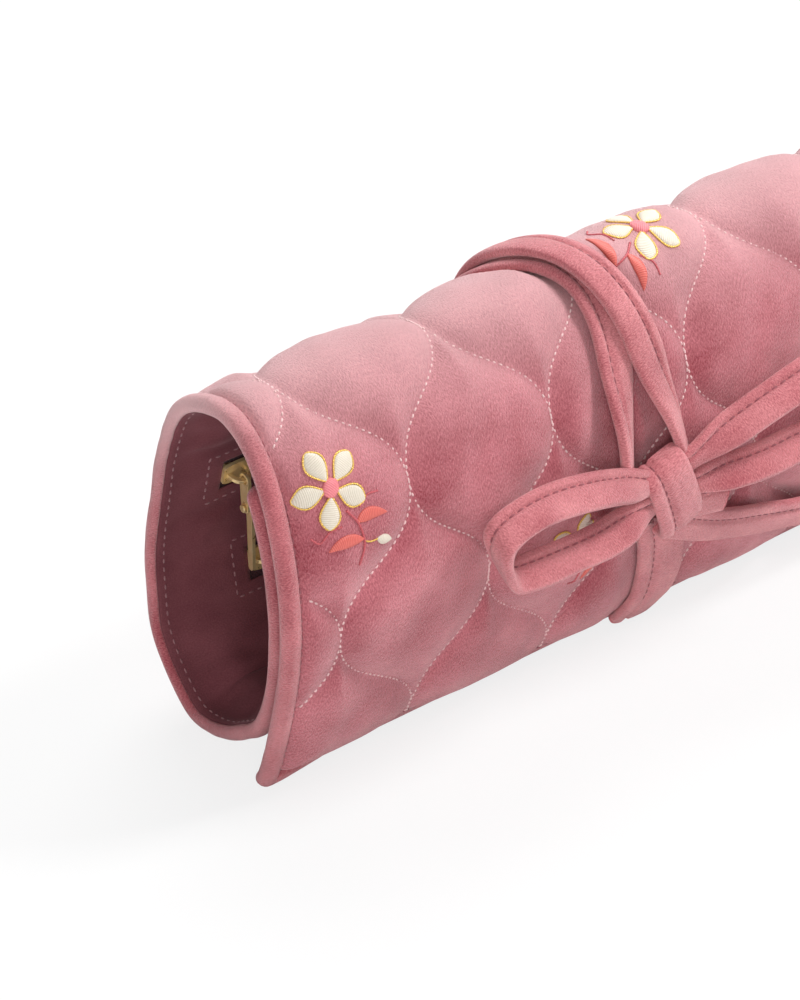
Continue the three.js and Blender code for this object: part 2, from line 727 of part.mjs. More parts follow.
// A strap that lies on the sheet: each step gives X, the distance from the flap's edge and the lift.
function lyingStrap(track, width) {
  const places = track.map(({ fromFlap }) => placeAtArc(sheetLength - fromFlap));
  const points = track.map(({ x, lift }, index) => sheetPoint(x, places[index], coverLevel, lift));
  const widthAt = (index) => {
    const before = points[Math.max(index - 1, 0)];
    const after = points[Math.min(index + 1, points.length - 1)];
    return new THREE.Vector3().crossVectors(outwardAt(places[index]), after.clone().sub(before));
  };
  return strap(points, widthAt, width);
}

// The two runs of the tie start under the roll at the flap's edge, go up the back and over
// the top, and come down the front to end below the knot, side by side until then.
const strapLift = strapSeat + strapThickness / 2;
const knotArc = sheetLength - knotFromFlap;
function wrapStrap(side) {
  const bottom = stations.findIndex((station) => station.angle > strapStartAngle);
  const track = [];
  for (let index = bottom; stationArcs[index] < sheetLength - runEnd; index += 1) {
    const fromFlap = sheetLength - stationArcs[index];
    track.push({ x: runX(side, fromFlap), fromFlap });
  }
  track.push({ x: runX(side, runEnd), fromFlap: runEnd });
  const points = track.map(({ x, fromFlap }) =>
    sheetPoint(x, placeAtArc(sheetLength - fromFlap), coverLevel, strapLift),
  );
  const flapInside = sheetPoint(points[0].x, lastStation, armInner / edgeSqueeze).y;
  const start = new THREE.Vector3(points[0].x, flapInside + 2 * gap + strapThickness / 4, points[0].z);
  return strap([start, ...points], () => alongRoll);
}
addPiece("tie_left_run", wrapStrap(-1), strapVelvet);
addPiece("tie_right_run", wrapStrap(1), strapVelvet);

// The short run from the flap's edge, where the tie is sewn on, up to the knot.
const frontStops = stationArcs.map((arc) => sheetLength - arc).filter((value) => value < frontTop - gap);
const hemLift = gap + strapThickness / 2 + coverLevel * (1 - edgeSqueeze);
const frontSteps = [frontTop, ...frontStops.filter((value) => value > frontFoot), frontFoot];
const frontTrack = frontSteps.map((fromFlap) => ({
  x: frontRunX(fromFlap),
  fromFlap,
  lift: lerp(hemLift, strapLift, hemShare(fromFlap)),
}));
addPiece("tie_front_run", lyingStrap(frontTrack, frontStrapWidth), strapVelvet);

// The bow's own frame at the knot: X along the roll, Y up the front, Z away from it.
const knotPlace = placeAtArc(knotArc);
const bow = new THREE.Group();
const bowOut = outwardAt(knotPlace);
const bowUp = new THREE.Vector3().crossVectors(bowOut, alongRoll);
bow.quaternion.setFromRotationMatrix(new THREE.Matrix4().makeBasis(alongRoll, bowUp, bowOut));
bow.position.copy(sheetPoint(knotX, knotPlace, coverLevel, strapSeat + strapThickness));
roll.add(bow);

// The knot's wrap: a rounded hump drawn from the side and as wide as the strap.
const hump = new THREE.Shape();
const humpHalf = knotHeight / 2 - knotRound;
hump.moveTo(-humpHalf, gap + knotRound);
hump.bezierCurveTo(-humpHalf, knotDepth * 0.9, -humpHalf * 0.6, knotDepth, 0, knotDepth);
hump.bezierCurveTo(humpHalf * 0.6, knotDepth, humpHalf, knotDepth * 0.9, humpHalf, gap + knotRound);
const humpSettings = {
  depth: knotWidth - 2 * knotRound,
  bevelSize: knotRound,
  bevelThickness: knotRound,
  bevelSegments: 2,
  curveSegments: 8,
};
const knot = new THREE.ExtrudeGeometry(hump, humpSettings);
knot.translate(0, 0, -humpSettings.depth / 2).rotateY(Math.PI / 2).rotateX(Math.PI / 2);
addPiece("tie_knot", knot, strapVelvet, bow).rotation.z = knotTurn;

// Each loop stands on its edge: its width points away from the roll and a little down.
const loopWidth = new THREE.Vector3(0, -Math.sin(loopTilt), Math.cos(loopTilt));
function loopStrap(side, { reach, top, foot }) {
  const root = (y) =>
    knotWidth / 2 / Math.cos(knotTurn) - side * y * Math.tan(knotTurn) + strapThickness / 2 + 3 * gap;
  const outline = [
    [root(top * 0.28), top * 0.28],
    [reach * 0.46, top * 0.85],
    [reach * 0.75, top],
    [reach * 0.95, top * 0.88],
    [reach, top * 0.6],
    [reach * 0.94, top * 0.1],
    [reach * 0.83, foot * 0.45],
    [reach * 0.64, foot],
    [reach * 0.39, foot * 0.9],
    [root(foot * 0.6), foot * 0.6],
  ];
  const corners = outline.map(([x, y]) => new THREE.Vector3(side * x, y, loopHeight));
  const points = new THREE.CatmullRomCurve3(corners).getSpacedPoints(26);
  return strap(points, () => loopWidth);
}
addPiece("tie_left_loop", loopStrap(-1, leftLoop), strapVelvet, bow);
addPiece("tie_right_loop", loopStrap(1, rightLoop), strapVelvet, bow);

// The two tails leave the knot on the right and lie on the front. The long one comes down
// from the knot onto the quilting, and the short one is a stub above it.
const tailLift = crownHeight + gap + strapThickness / 2;
const overRun = strapLift + strapThickness + gap;
const tailRoot = knotX + knotWidth / 2 + strapThickness;
const longTail = new THREE.QuadraticBezierCurve(
  new THREE.Vector2(tailRoot + gap, longTailStart),
  new THREE.Vector2(knotX + longTailReach / 2, longTailStart - longTailDrop * 0.75),
  new THREE.Vector2(knotX + longTailReach, longTailStart - longTailDrop),
);
const longTrack = longTail.getSpacedPoints(12).map(({ x, y }, step) => ({
  x,
  fromFlap: y,
  lift: lerp(overRun, tailLift, smoothstep(step, 2, 6)),
}));
addPiece("tie_long_tail", lyingStrap(longTrack, strapWidth), strapVelvet);
const shortTrack = [tailRoot, knotX + shortTailReach].map((x) => ({
  x,
  fromFlap: shortTailStart,
  lift: overRun,
}));
addPiece("tie_short_tail", lyingStrap(shortTrack, strapWidth), strapVelvet);

// The origin is under the middle of the whole roll, on the table.
const middle = new THREE.Box3().setFromObject(roll, true).getCenter(new THREE.Vector3());
for (const piece of roll.children) piece.position.y -= middle.y;

export default roll;
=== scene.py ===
import bpy
import numpy as np
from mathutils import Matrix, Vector


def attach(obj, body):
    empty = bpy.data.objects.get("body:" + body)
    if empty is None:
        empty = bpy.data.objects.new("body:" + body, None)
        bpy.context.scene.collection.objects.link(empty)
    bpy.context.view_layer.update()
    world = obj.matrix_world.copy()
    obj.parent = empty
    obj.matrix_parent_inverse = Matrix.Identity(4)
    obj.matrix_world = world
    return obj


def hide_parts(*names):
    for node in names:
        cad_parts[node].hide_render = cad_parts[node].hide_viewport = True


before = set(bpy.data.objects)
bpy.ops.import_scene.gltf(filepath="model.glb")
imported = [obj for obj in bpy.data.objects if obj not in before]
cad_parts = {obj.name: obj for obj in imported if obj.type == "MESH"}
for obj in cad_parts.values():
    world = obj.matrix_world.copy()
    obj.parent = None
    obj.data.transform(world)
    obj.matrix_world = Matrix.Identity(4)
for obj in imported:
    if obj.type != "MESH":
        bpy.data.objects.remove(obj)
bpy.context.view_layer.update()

# The rolled sheet: velvet, wadding and lining sewn into one soft sheet, wound one and a quarter
# turns into a leaning oval. The flap's edge is turned under. All sewn layers take their place from
# this middle line, in millimetres.
roll_half = 105.0
section_y = 4.97
flap_turn = 552.0
line_rest, table_gap, zip_flat = 2.4, 0.05, 9.0


def ramp(value, start, end):
    """Smooth step: 3t^2 - 2t^3, with t the share of the way from start to end, kept from 0 to 1."""
    t = np.clip((value - start) / (end - start), 0.0, 1.0)
    return t * t * (3.0 - 2.0 * t)


def fall(value, start, end):
    """One less the ramp: from 1 down to 0."""
    return 1.0 - ramp(value, start, end)


def wound_oval(degrees):
    """Middle line of the turns: an ellipse with a slimmer upper back, drawn in by one sheet on its
    inner turn, leaned by six degrees and laid flat where it meets the table."""
    drawn_in = 7.0 * fall(degrees, 180.0, 300.0) + 3.4 * fall(degrees, 128.0, 205.0)
    back, up = np.cos(np.radians(degrees)), np.sin(np.radians(degrees))
    depth = np.where(back > 0.0, (31.5 - drawn_in) * (1.0 - 0.1 * up), 29.6 - drawn_in)
    y, z = depth * back, (53.5 - drawn_in) * up
    lean = np.radians(6.0)
    leaned_z = y * np.sin(lean) + z * np.cos(lean) + 52.2
    return np.stack([y * np.cos(lean) - z * np.sin(lean), np.maximum(leaned_z, line_rest)], -1)


turn_steps = np.arange(117.0, flap_turn, 1.0)
turn_points = wound_oval(turn_steps)


def unit(rows):
    """Each row of a table at length one."""
    return rows / np.linalg.norm(rows, axis=-1, keepdims=True)


heading = unit(turn_points[-1] - turn_points[-2])
tail_drop = turn_points[-1, 1] - 0.8
tail_count = int(np.ceil(tail_drop))
tail_bend = np.radians(7.0) * np.arange(1, tail_count + 1) / tail_count
tail_heading = np.stack(
    [heading[0] * np.cos(tail_bend) - heading[1] * np.sin(tail_bend),
     heading[0] * np.sin(tail_bend) + heading[1] * np.cos(tail_bend)], -1)
tail_step = tail_heading * (tail_drop / tail_count / -tail_heading[:, 1:])
tail_points = turn_points[-1] + np.cumsum(tail_step, axis=0)


def arc_lengths(points):
    """Length along a row of points, from 0 at the first."""
    return np.concatenate([[0.0], np.cumsum(np.linalg.norm(np.diff(points, axis=0), axis=-1))])


sheet_length = arc_lengths(np.concatenate([turn_points, tail_points]))[-1]
tuck_radius, tuck_heading, tuck_height = 18.0, -0.85, 1.8
last_heading = np.arctan2(*tail_heading[-1, ::-1])
tuck_drop = tuck_radius * (np.cos(tuck_heading) - np.cos(last_heading))
tail_points = tail_points[tail_points[:, 1] > tuck_height + tuck_drop]
tuck = np.linspace(last_heading, tuck_heading, 18)[1:]
tuck_points = tail_points[-1] + tuck_radius * np.stack(
    [np.sin(tuck) - np.sin(last_heading), np.cos(last_heading) - np.cos(tuck)], -1)
rough_line = np.concatenate([turn_points, tail_points, tuck_points])
rough_turn = np.concatenate([turn_steps, np.full(len(rough_line) - len(turn_steps), flap_turn)])
rough_arc = arc_lengths(rough_line)
sheet_end = rough_arc[-1]


def arc_at(turn):
    """Arc at which the middle line has come to that turn, in degrees."""
    return np.interp(turn, turn_steps, rough_arc[:len(turn_steps)])


upper_zip_arc, lower_zip_arc = arc_at(370.7), arc_at(333.0)
line_arc = np.linspace(0.0, sheet_end, 690)
line_y, line_z = (np.interp(line_arc, rough_arc, rough_line[:, axis]) for axis in (0, 1))
for zip_arc in (upper_zip_arc, lower_zip_arc):
    flat = np.abs(line_arc - zip_arc) <= zip_flat
    ends = [zip_arc - zip_flat, zip_arc + zip_flat]
    for axis, row in enumerate((line_y, line_z)):
        row[flat] = np.interp(line_arc[flat], ends, np.interp(ends, rough_arc, rough_line[:, axis]))


def softened(values, reach):
    """Gaussian mean along a row of values, which run on straight past both ends."""
    span = np.arange(-3 * reach, 3 * reach + 1)
    weight = np.exp(-0.5 * (span / reach) ** 2)
    before = values[0] + (values[1] - values[0]) * np.arange(-3 * reach, 0)
    after = values[-1] + (values[-1] - values[-2]) * np.arange(1, 3 * reach + 1)
    return np.convolve(np.concatenate([before, values, after]), weight / weight.sum(), "valid")


line_y, line_z = softened(line_y, 4), softened(line_z, 4)
along_y, along_z = np.gradient(line_y), np.gradient(line_z)
along_size = np.hypot(along_y, along_z)
line_out_y, line_out_z = along_z / along_size, -along_y / along_size
line_turn = np.interp(line_arc, rough_arc, rough_turn)


def hem_share(distance):
    """0 at a hem and 1 where the layers lie at their full thickness."""
    return ramp(distance, 6.0, 17.0)


def on_sheet(x, arc, level, lift=0.0):
    """Point of the sheet: the middle line at that arc, moved along its outward normal by the level,
    which is pressed to six tenths at the hems, and by the lift. Between the ends the underside
    stands up over the straps below it and the inner turn moves in. The near end has settled: fuller at
    its upper corner and lower back, raised at its foot, with the flap a little further out."""
    y, z, out_y, out_z, turn = (
        np.interp(arc, line_arc, row) for row in (line_y, line_z, line_out_y, line_out_z, line_turn))
    from_end = hem_share(roll_half - np.abs(x))
    pressed = 0.6 + 0.4 * np.minimum(from_end, np.minimum(hem_share(arc), hem_share(sheet_end - arc)))
    inner = 2.6 * fall(turn, 180.0, 300.0) * hem_share(arc)
    under = 4.55 * ramp(turn, 222.0, 242.0) * fall(turn, 300.0, 320.0)
    settled = 2.5 * np.exp(-((turn - 408.0) / 17.0) ** 2) + 2.0 * np.exp(-((turn - 322.0) / 16.0) ** 2)
    settled = settled - 0.9 * np.exp(-((turn - 364.0) / 14.0) ** 2)
    raised = 5.8 * np.exp(-((turn - 248.0) / 21.0) ** 2)
    near = fall(x, -roll_half, -80.0)
    move = level * pressed + lift - (inner + under) * from_end + settled * near
    askew = 2.5 * ramp(arc, sheet_end - 135.0, sheet_end - 75.0) * fall(x, -roll_half, -55.0)
    height = np.maximum(z + out_z * move + raised * near, table_gap)
    return np.stack(np.broadcast_arrays(x - askew, y + out_y * move + section_y, height), -1)


# The quilted cover: rose velvet over wadding, stitched in ogee cells whose lines meet at narrow
# necks. The cells swell between the stitching and are pressed in along the runs of the tie. Its
# edges are held in the binding.
cover_level, backing_level, groove_in = 2.4, 0.6, 5.2
swell_height, swell_reach = 3.8, 4.6
cell_pitch, row_pitch, neck_row = 43.6, 69.5, 51.0
first_line = -roll_half + 15.5 - cell_pitch / 4.0
line_numbers = np.arange(10)
run_end = 62.0
under_arc = arc_at(285.0)
far_off = 99.0


def quilt_line(number, from_flap):
    """X of a stitched line: evenly spaced lines that swing to and fro by a flattened cosine, each
    against its neighbours, so that they touch at the necks. By the flap's edge they are drawn down
    and to the right."""
    low = fall(from_flap, 10.0, 48.0)
    wave = np.cos(2.0 * np.pi * (from_flap + 5.0 * low - neck_row) / row_pitch)
    swing = 1.35 * wave / np.hypot(1.0, np.sqrt(1.35 ** 2 - 1.0) * wave)
    side = 1.0 - 2.0 * (number % 2)
    return first_line + 4.5 * low + cell_pitch / 2.0 * (number + 0.5 * side * swing)


def eased(places, values):
    """Function of the distance from the flap: the values at their places, joined and softened."""
    fine = np.linspace(-8.0, 190.0, 397)
    row = softened(np.interp(fine, places, values), 7)
    return lambda from_flap: np.interp(from_flap, fine, row)


left_run_x = eased(
    [62, 80, 92, 104, 112, 120, 128, 136, 150, 165],
    [-5.2, -5.2, -3.6, -1.8, -1.8, -5.0, -10.5, -15.0, -19.5, -20.9])
right_run_x = eased(
    [62, 68, 77, 88, 99, 108, 114, 120, 128, 136, 150],
    [13.5, 12.0, 9.5, 6.2, 3.3, 1.5, -0.5, -3.5, -8.0, -9.6, -9.7])
front_x = eased([0, 8, 16, 23, 37, 47], [12.0, 13.1, 14.0, 13.8, 11.4, 8.0])
stacked = eased([84, 98, 136, 160], [0.0, 1.0, 1.0, 0.0])


def run_x(side, from_flap):
    """X of a strap's run: from its side of the knot up to the other run, over to the left where the
    two lie on each other on the top, and easing back to the middle on its way under the roll."""
    risen = ramp(sheet_length - from_flap, under_arc, sheet_length - 148.0)
    over = left_run_x(from_flap) if side < 0.0 else right_run_x(from_flap)
    return side * 5.9 + (over - side * 5.9) * risen


def lumps(u, v, length, seed):
    """Soft unevenness: the sum of ten sine waves of about that length, in seeded directions."""
    draw = np.random.default_rng(seed)
    turn, phase = draw.uniform(0.0, 2.0 * np.pi, (2, 10))
    step = 2.0 * np.pi / (length * draw.uniform(0.7, 1.4, 10))
    u, v = np.broadcast_arrays(u, v)
    waves = np.sin((u[..., None] * np.cos(turn) + v[..., None] * np.sin(turn)) * step + phase)
    return waves.sum(-1) / 4.5


def cover_swell(x, arc):
    """Height of the quilting: it rises from each stitched line and hem as 1 - exp(-distance), less
    under the roll and inside it, is pressed in along the straps and sinks to the binding's groove."""
    x, arc = np.broadcast_arrays(x, arc)
    from_flap = sheet_length - arc
    number = line_numbers.reshape((-1,) + (1,) * x.ndim)
    slope = quilt_line(number, from_flap + 0.5) - quilt_line(number, from_flap - 0.5)
    seam = np.min(np.abs(x - quilt_line(number, from_flap)) / np.hypot(1.0, slope), axis=0)
    hem = np.minimum(roll_half - np.abs(x), np.minimum(arc, sheet_end - arc)) - groove_in
    turn, height = np.interp(arc, line_arc, line_turn), np.interp(arc, line_arc, line_z)
    seen = np.maximum(ramp(height, line_rest, 14.4), ramp(arc, sheet_end - 60.0, sheet_end - 45.0))
    seen = seen * (0.4 + 0.6 * ramp(turn, 180.0, 300.0))
    runs = np.minimum(*(np.abs(x - run_x(side, from_flap)) for side in (-1.0, 1.0)))
    runs = np.where((from_flap > run_end - 6.0) & (turn > 262.0), runs, far_off)
    front = np.where(from_flap < 54.0, np.abs(x - front_x(from_flap)) - 2.0, far_off)
    free = ramp(np.minimum(runs, front), 3.5, 15.0 - 5.0 * ramp(from_flap, 104.0, 118.0))
    uneven = 1.0 + 0.1 * lumps(x, arc, 26.0, 3) + 0.05 * lumps(x, arc, 11.0, 4)
    swell = swell_height * (1.0 - np.exp(-seam / swell_reach)) * uneven
    swell = (swell * (0.2 + 0.8 * free) - 0.5) * (1.0 - np.exp(-np.maximum(hem, 0.0) / 3.5))
    return seen * swell - 1.1 * np.exp(-(hem / 1.3) ** 2)


def cover_face(x, arc, lift=0.0):
    """Point of the cover's face before it swells, moved outward by the lift."""
    return on_sheet(x, arc, cover_level, lift)


def put_mesh(name, points, faces, finish, coordinates=None):
    """Object at the origin from points in millimetres; the loops' cloth coordinates are its UV map."""
    mesh = bpy.data.meshes.new(name)
    mesh.from_pydata((points.reshape(-1, 3) * 0.001).tolist(), [], faces)
    if coordinates is not None:
        layer = mesh.uv_layers.new(name="cloth")
        layer.data.foreach_set("uv", np.asarray(coordinates, np.float32).ravel())
    mesh.polygons.foreach_set("use_smooth", np.ones(len(mesh.polygons), bool))
    mesh.materials.append(finish)
    mesh.update()
    made = bpy.data.objects.new(name, mesh)
    bpy.context.scene.collection.objects.link(made)
    return made


def tube_faces(rings, along, around):
    """Closed skin through a row of rings: point k of ring i is joined to its neighbours by quads and
    each end ring is one face. All are turned round if the volume they hold is below zero."""
    count, points = rings.shape[:2]
    i, k = np.indices((count - 1, points)).reshape(2, -1)
    quad_i, quad_k = i[:, None] + np.array([0, 1, 1, 0]), k[:, None] + np.array([0, 0, 1, 1])
    quads = quad_i * points + quad_k % points
    corners = rings.reshape(-1, 3)[quads] - rings.reshape(-1, 3).mean(0)
    volume = np.sum(corners[:, 0] * np.cross(corners[:, 1], corners[:, 2]))
    volume += np.sum(corners[:, 0] * np.cross(corners[:, 2], corners[:, 3]))
    quad_uv = np.stack([along[quad_i], around[quad_k]], -1)
    ends = np.stack([np.arange(points)[::-1], (count - 1) * points + np.arange(points)])
    end_uv = np.stack([along[ends // points], around[ends % points]], -1)
    if volume < 0.0:
        quads, quad_uv, ends, end_uv = quads[:, ::-1], quad_uv[:, ::-1], ends[:, ::-1], end_uv[:, ::-1]
    return quads, ends, quad_uv, end_uv


def put_tubes(name, tubes, finish):
    """One piece of several closed skins, each given as rings and their coordinates along and around."""
    faces, coordinates, first = [], [], 0
    for rings, along, around in tubes:
        quads, ends, quad_uv, end_uv = tube_faces(rings, along, around)
        faces += (quads + first).tolist() + (ends + first).tolist()
        coordinates += [quad_uv.reshape(-1, 2), end_uv.reshape(-1, 2)]
        first += rings.shape[0] * rings.shape[1]
    points = np.concatenate([rings.reshape(-1, 3) for rings, along, around in tubes])
    return put_mesh(name, points, faces, finish, np.concatenate(coordinates))


class Shade:
    """A value in a material: it wraps a socket, and + - * on it add Math nodes."""

    def __init__(self, tree, socket=None):
        self.tree, self.socket = tree, socket

    def node(self, kind, settings=None, sockets=None, output=0):
        """Any other node: its type, its settings, its sockets' values or links, and its output."""
        made = self.tree.nodes.new("ShaderNode" + kind)
        for name, value in (settings or {}).items():
            setattr(made, name, value)
        for name, value in (sockets or {}).items():
            if isinstance(value, Shade):
                self.tree.links.new(value.socket, made.inputs[name])
            else:
                made.inputs[name].default_value = value
        return Shade(self.tree, made.outputs[output] if made.outputs else None)

    def math(self, operation, first, second):
        return self.node("Math", {"operation": operation}, {0: first, 1: second})

    def __add__(self, other):
        return self.math("ADD", self, other)

    def __radd__(self, other):
        return self.math("ADD", other, self)

    def __sub__(self, other):
        return self.math("SUBTRACT", self, other)

    def __rsub__(self, other):
        return self.math("SUBTRACT", other, self)

    def __mul__(self, other):
        return self.math("MULTIPLY", self, other)

    def __rmul__(self, other):
        return self.math("MULTIPLY", other, self)


def new_finish(name, kind=bpy.data.materials):
    """An empty material or world and the Shade that adds nodes to it."""
    finish = kind.new(name)
    finish.use_nodes = True
    finish.node_tree.nodes.clear()
    return finish, Shade(finish.node_tree)


def close_finish(cloth, sockets):
    """The shader that takes those sockets, and the material's output."""
    surface = cloth.node("BsdfPrincipled", None, sockets)
    cloth.node("OutputMaterial", None, {"Surface": surface})


def linear(red, green, blue):
    """A colour on the 0 to 255 scale of a picture as linear light."""
    share = np.array([red, green, blue]) / 255.0
    light = np.where(share <= 0.04045, share / 12.92, ((share + 0.055) / 1.055) ** 2.4)
    return (*light.tolist(), 1.0)


def blend(cloth, share, deep, fair):
    """A colour between two tones, by the share."""
    return cloth.node("Mix", {"data_type": "RGBA"}, {0: share, 6: deep, 7: fair}, 2)


def noise(cloth, place, scale, detail, rough=0.5):
    """Random soft patches, that many to a unit of place, with finer ones on them by the detail."""
    return cloth.node("TexNoise", None, {"Vector": place, "Scale": scale, "Detail": detail, "Roughness": rough})


def velvet(name, deep, fair, nap_turn, painted_sheen=None):
    """Short pile: fine streaks along the nap and broad brushed patches move the colour between deep
    and fair, the streaks raise it, and a soft sheen lights it at a slant. With a painted sheen given,
    the colour is painted paler round its middle, a place along one axis of the cloth, easing out over its reach."""
    finish, cloth = new_finish(name)
    place = cloth.node("UVMap", {"uv_map": "cloth"})
    nap = cloth.node("Mapping", None, {
        "Vector": place, "Rotation": (0.0, 0.0, nap_turn), "Scale": (3.2, 1.3, 1.0)})
    pile = noise(cloth, nap, 1.0, 4.0, 0.62)
    tuft = noise(cloth, place, 4.2, 2.0)
    brushed = noise(cloth, place, 0.06, 3.0, 0.55)
    share = 0.5 + (pile - 0.5) * 2.2 + (tuft - 0.5) * 0.7 + (brushed - 0.5) * 1.4
    colour = blend(cloth, share, deep, fair)
    # Painted sheen: a pale pink mixed into the colour round a place on the cloth, standing in for light.
    if painted_sheen is not None:
        axis, middle, reach = painted_sheen
        along = cloth.node("SeparateXYZ", None, {"Vector": place}, axis)
        ease = {"interpolation_type": "SMOOTHSTEP"}
        before, after = (
            cloth.node("MapRange", ease, {"Value": along, "From Min": start, "From Max": middle})
            for start in (middle - reach, middle + reach))
        colour = blend(cloth, before * after * (pile * 0.45 + 0.36), colour, linear(240, 200, 202))
    raised = cloth.node("Bump", None, {"Strength": 0.8, "Distance": 0.0009, "Height": pile * 0.7 + tuft * 0.3})
    close_finish(cloth, {
        "Base Color": colour, "Roughness": 0.6, "Normal": raised, "Specular IOR Level": 0.06,
        "Sheen Weight": 0.6, "Sheen Roughness": 0.42, "Sheen Tint": linear(255, 242, 242)})
    return finish


cover_edge, fine_hem, cover_columns, cover_rows, back_rows = 4.4, 9.0, 196, 316, 60
near_hem = np.arange(cover_edge, fine_hem, 0.5)
cover_x = np.linspace(-roll_half + fine_hem, roll_half - fine_hem, cover_columns)
cover_x = np.concatenate([near_hem - roll_half, cover_x, (roll_half - near_hem)[::-1]])[:, None]
outer_arc = np.linspace(fine_hem, sheet_end - fine_hem, cover_rows)
outer_arc = np.concatenate([near_hem, outer_arc, (sheet_end - near_hem)[::-1]])[None, :]
back_arc = np.linspace(sheet_end - cover_edge, cover_edge, back_rows)[None, :]
cover_front = cover_face(cover_x, outer_arc, cover_swell(cover_x, outer_arc))
cover_rings = np.concatenate([cover_front, on_sheet(cover_x, back_arc, backing_level)], axis=1)
cover_around = np.concatenate([outer_arc[0], back_arc[0], outer_arc[0, :1]])
# Painted sheen: the cover's velvet is paler round the top of the roll, standing in for the light that falls there.
cover_painted_sheen = ("Y", sheet_length - 130.0, 48.0)
quilted_velvet = velvet("quilted_velvet", linear(154, 63, 74), linear(219, 135, 144), 0.5, cover_painted_sheen)
cover = put_tubes("quilted_velvet_cover", [(cover_rings, cover_x[:, 0], cover_around)], quilted_velvet)
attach(cover, "roll")
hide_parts("quilted_cover", "wadding_layer")

# The quilting thread: a pale pink lockstitch of about 1.8 mm that holds cover, wadding and backing
# together along every line of the cells. Each stitch shows as a short raised dash in the seam.
quilt_dash = 1.8, 1.05, 0.52
seam_hem, seam_least = 6.2, 12
thread_rings = np.array([-1.0, -0.72, 0.0, 0.72, 1.0])
thread_girth = np.array([0.4, 0.86, 1.0, 0.86, 0.4])
thread_turn = np.linspace(0.0, 2.0 * np.pi, 6, endpoint=False)


def stitches(path, normal, pitch, length, width):
    """Dashes along a path of points: at every pitch one bead, five rings of six points, whose middle
    stands up along the normal and whose ends sink in."""
    arc = arc_lengths(path)
    centre = np.arange(pitch / 2.0, arc[-1] - pitch / 2.0, pitch)
    at = lambda place, row: np.stack([np.interp(place, arc, row[:, axis]) for axis in range(3)], -1)
    middle, up = at(centre, path), at(centre, normal)
    along = unit(at(centre + length / 2.0, path) - at(centre - length / 2.0, path))
    across = np.cross(along, up)
    bead = middle[:, None, None] + along[:, None, None] * (thread_rings * length / 2.0)[None, :, None, None]
    round_part = np.cos(thread_turn)[None, None, :, None] * across[:, None, None]
    round_part = round_part + np.sin(thread_turn)[None, None, :, None] * up[:, None, None]
    bead = bead + round_part * (thread_girth * width / 2.0)[None, :, None, None]
    return bead + up[:, None, None] * ((1.0 - thread_rings ** 2) * width * 0.35)[None, :, None, None]


def sewn_row(x, arc, level, lift, outward, dash):
    """Dashes of one pitch, length and girth along a row on the sheet, on its outer or inner side."""
    path = on_sheet(x, arc, level, lift)
    return stitches(path, outward * (on_sheet(x, arc, level, lift + 1.0) - path), *dash)


def put_stitches(name, beads, finish):
    """One piece of all beads, fixed to the roll: each is rings joined by quads, with two end faces."""
    beads = np.concatenate(beads)
    count, rings, points = beads.shape[:3]
    ring, turn = np.indices((rings - 1, points)).reshape(2, -1)
    beside = (turn + 1) % points
    quad = np.stack([turn, turn + points, beside + points, beside], -1) + ring[:, None] * points
    ends = np.stack([np.arange(points), rings * points - 1 - np.arange(points)])
    first = np.arange(count)[:, None, None] * (rings * points)
    faces = (quad + first).reshape(-1, 4).tolist() + (ends + first).reshape(-1, points).tolist()
    made = put_mesh(name, beads, faces, finish)
    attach(made, "roll")
    return made


def thread(name, deep, fair):
    """Twisted thread: fine noise between two tones, and a faint gloss."""
    finish, cloth = new_finish(name)
    place = cloth.node("TexCoord", None, None, 3)
    twist = noise(cloth, place, 2600.0, 2.0)
    colour = blend(cloth, twist, deep, fair)
    raised = cloth.node("Bump", None, {"Strength": 0.4, "Distance": 0.0001, "Height": twist})
    close_finish(cloth, {"Base Color": colour, "Roughness": 0.6, "Normal": raised, "Sheen Weight": 0.3})
    return finish


quilting_thread = thread("quilting_thread", linear(212, 160, 162), linear(250, 226, 224))
seam_from_flap = np.linspace(sheet_length - sheet_end + seam_hem, sheet_length - seam_hem, 900)
seam_beads = []
for number in line_numbers:
    seam_x = quilt_line(number, seam_from_flap)
    sewn = np.abs(seam_x) < roll_half - seam_hem
    for stretch in np.split(np.arange(len(seam_x)), np.flatnonzero(np.diff(sewn)) + 1):
        if sewn[stretch[0]] and len(stretch) > seam_least:
            stretch_x, stretch_arc = seam_x[stretch], sheet_length - seam_from_flap[stretch]
            sunk = cover_swell(stretch_x, stretch_arc) + 0.08
            seam_beads.append(sewn_row(stretch_x, stretch_arc, cover_level, sunk, 1.0, quilt_dash))
quilting = put_stitches("quilting_stitches", seam_beads, quilting_thread)

# The embroidery: small blossom sprigs in some of the cells, in satin stitch on the velvet. Cream
# petals edged with a twisted gold cord, a pink heart, coral leaves, and rose stems and tendrils.
def through(corners, steps):
    """Smooth curve through corner points: between two of them a cubic whose slope at each is half
    the step between its neighbours."""
    points = np.vstack([2.0 * corners[0] - corners[1], corners, 2.0 * corners[-1] - corners[-2]])
    t = np.linspace(0.0, 1.0, steps, endpoint=False)[None, :, None]
    a, b, c, d = (points[i:len(points) - 3 + i][:, None] for i in range(4))
    curve = b + 0.5 * t * (c - a + t * (2.0 * a - 5.0 * b + 4.0 * c - d + t * (3.0 * (b - c) + d - a)))
    return np.vstack([curve.reshape(-1, corners.shape[1]), corners[-1:]])


def on_cover(points, height):
    """Point at a height above the quilted velvet, for places of x and distance from the flap."""
    arc = sheet_length - points[..., 1]
    return cover_face(points[..., 0], arc, cover_swell(points[..., 0], arc) + height)


pad_turn = np.linspace(0.0, 2.0 * np.pi, 16, endpoint=False)
ridge_pitch, twist_pitch = 0.45, 0.9


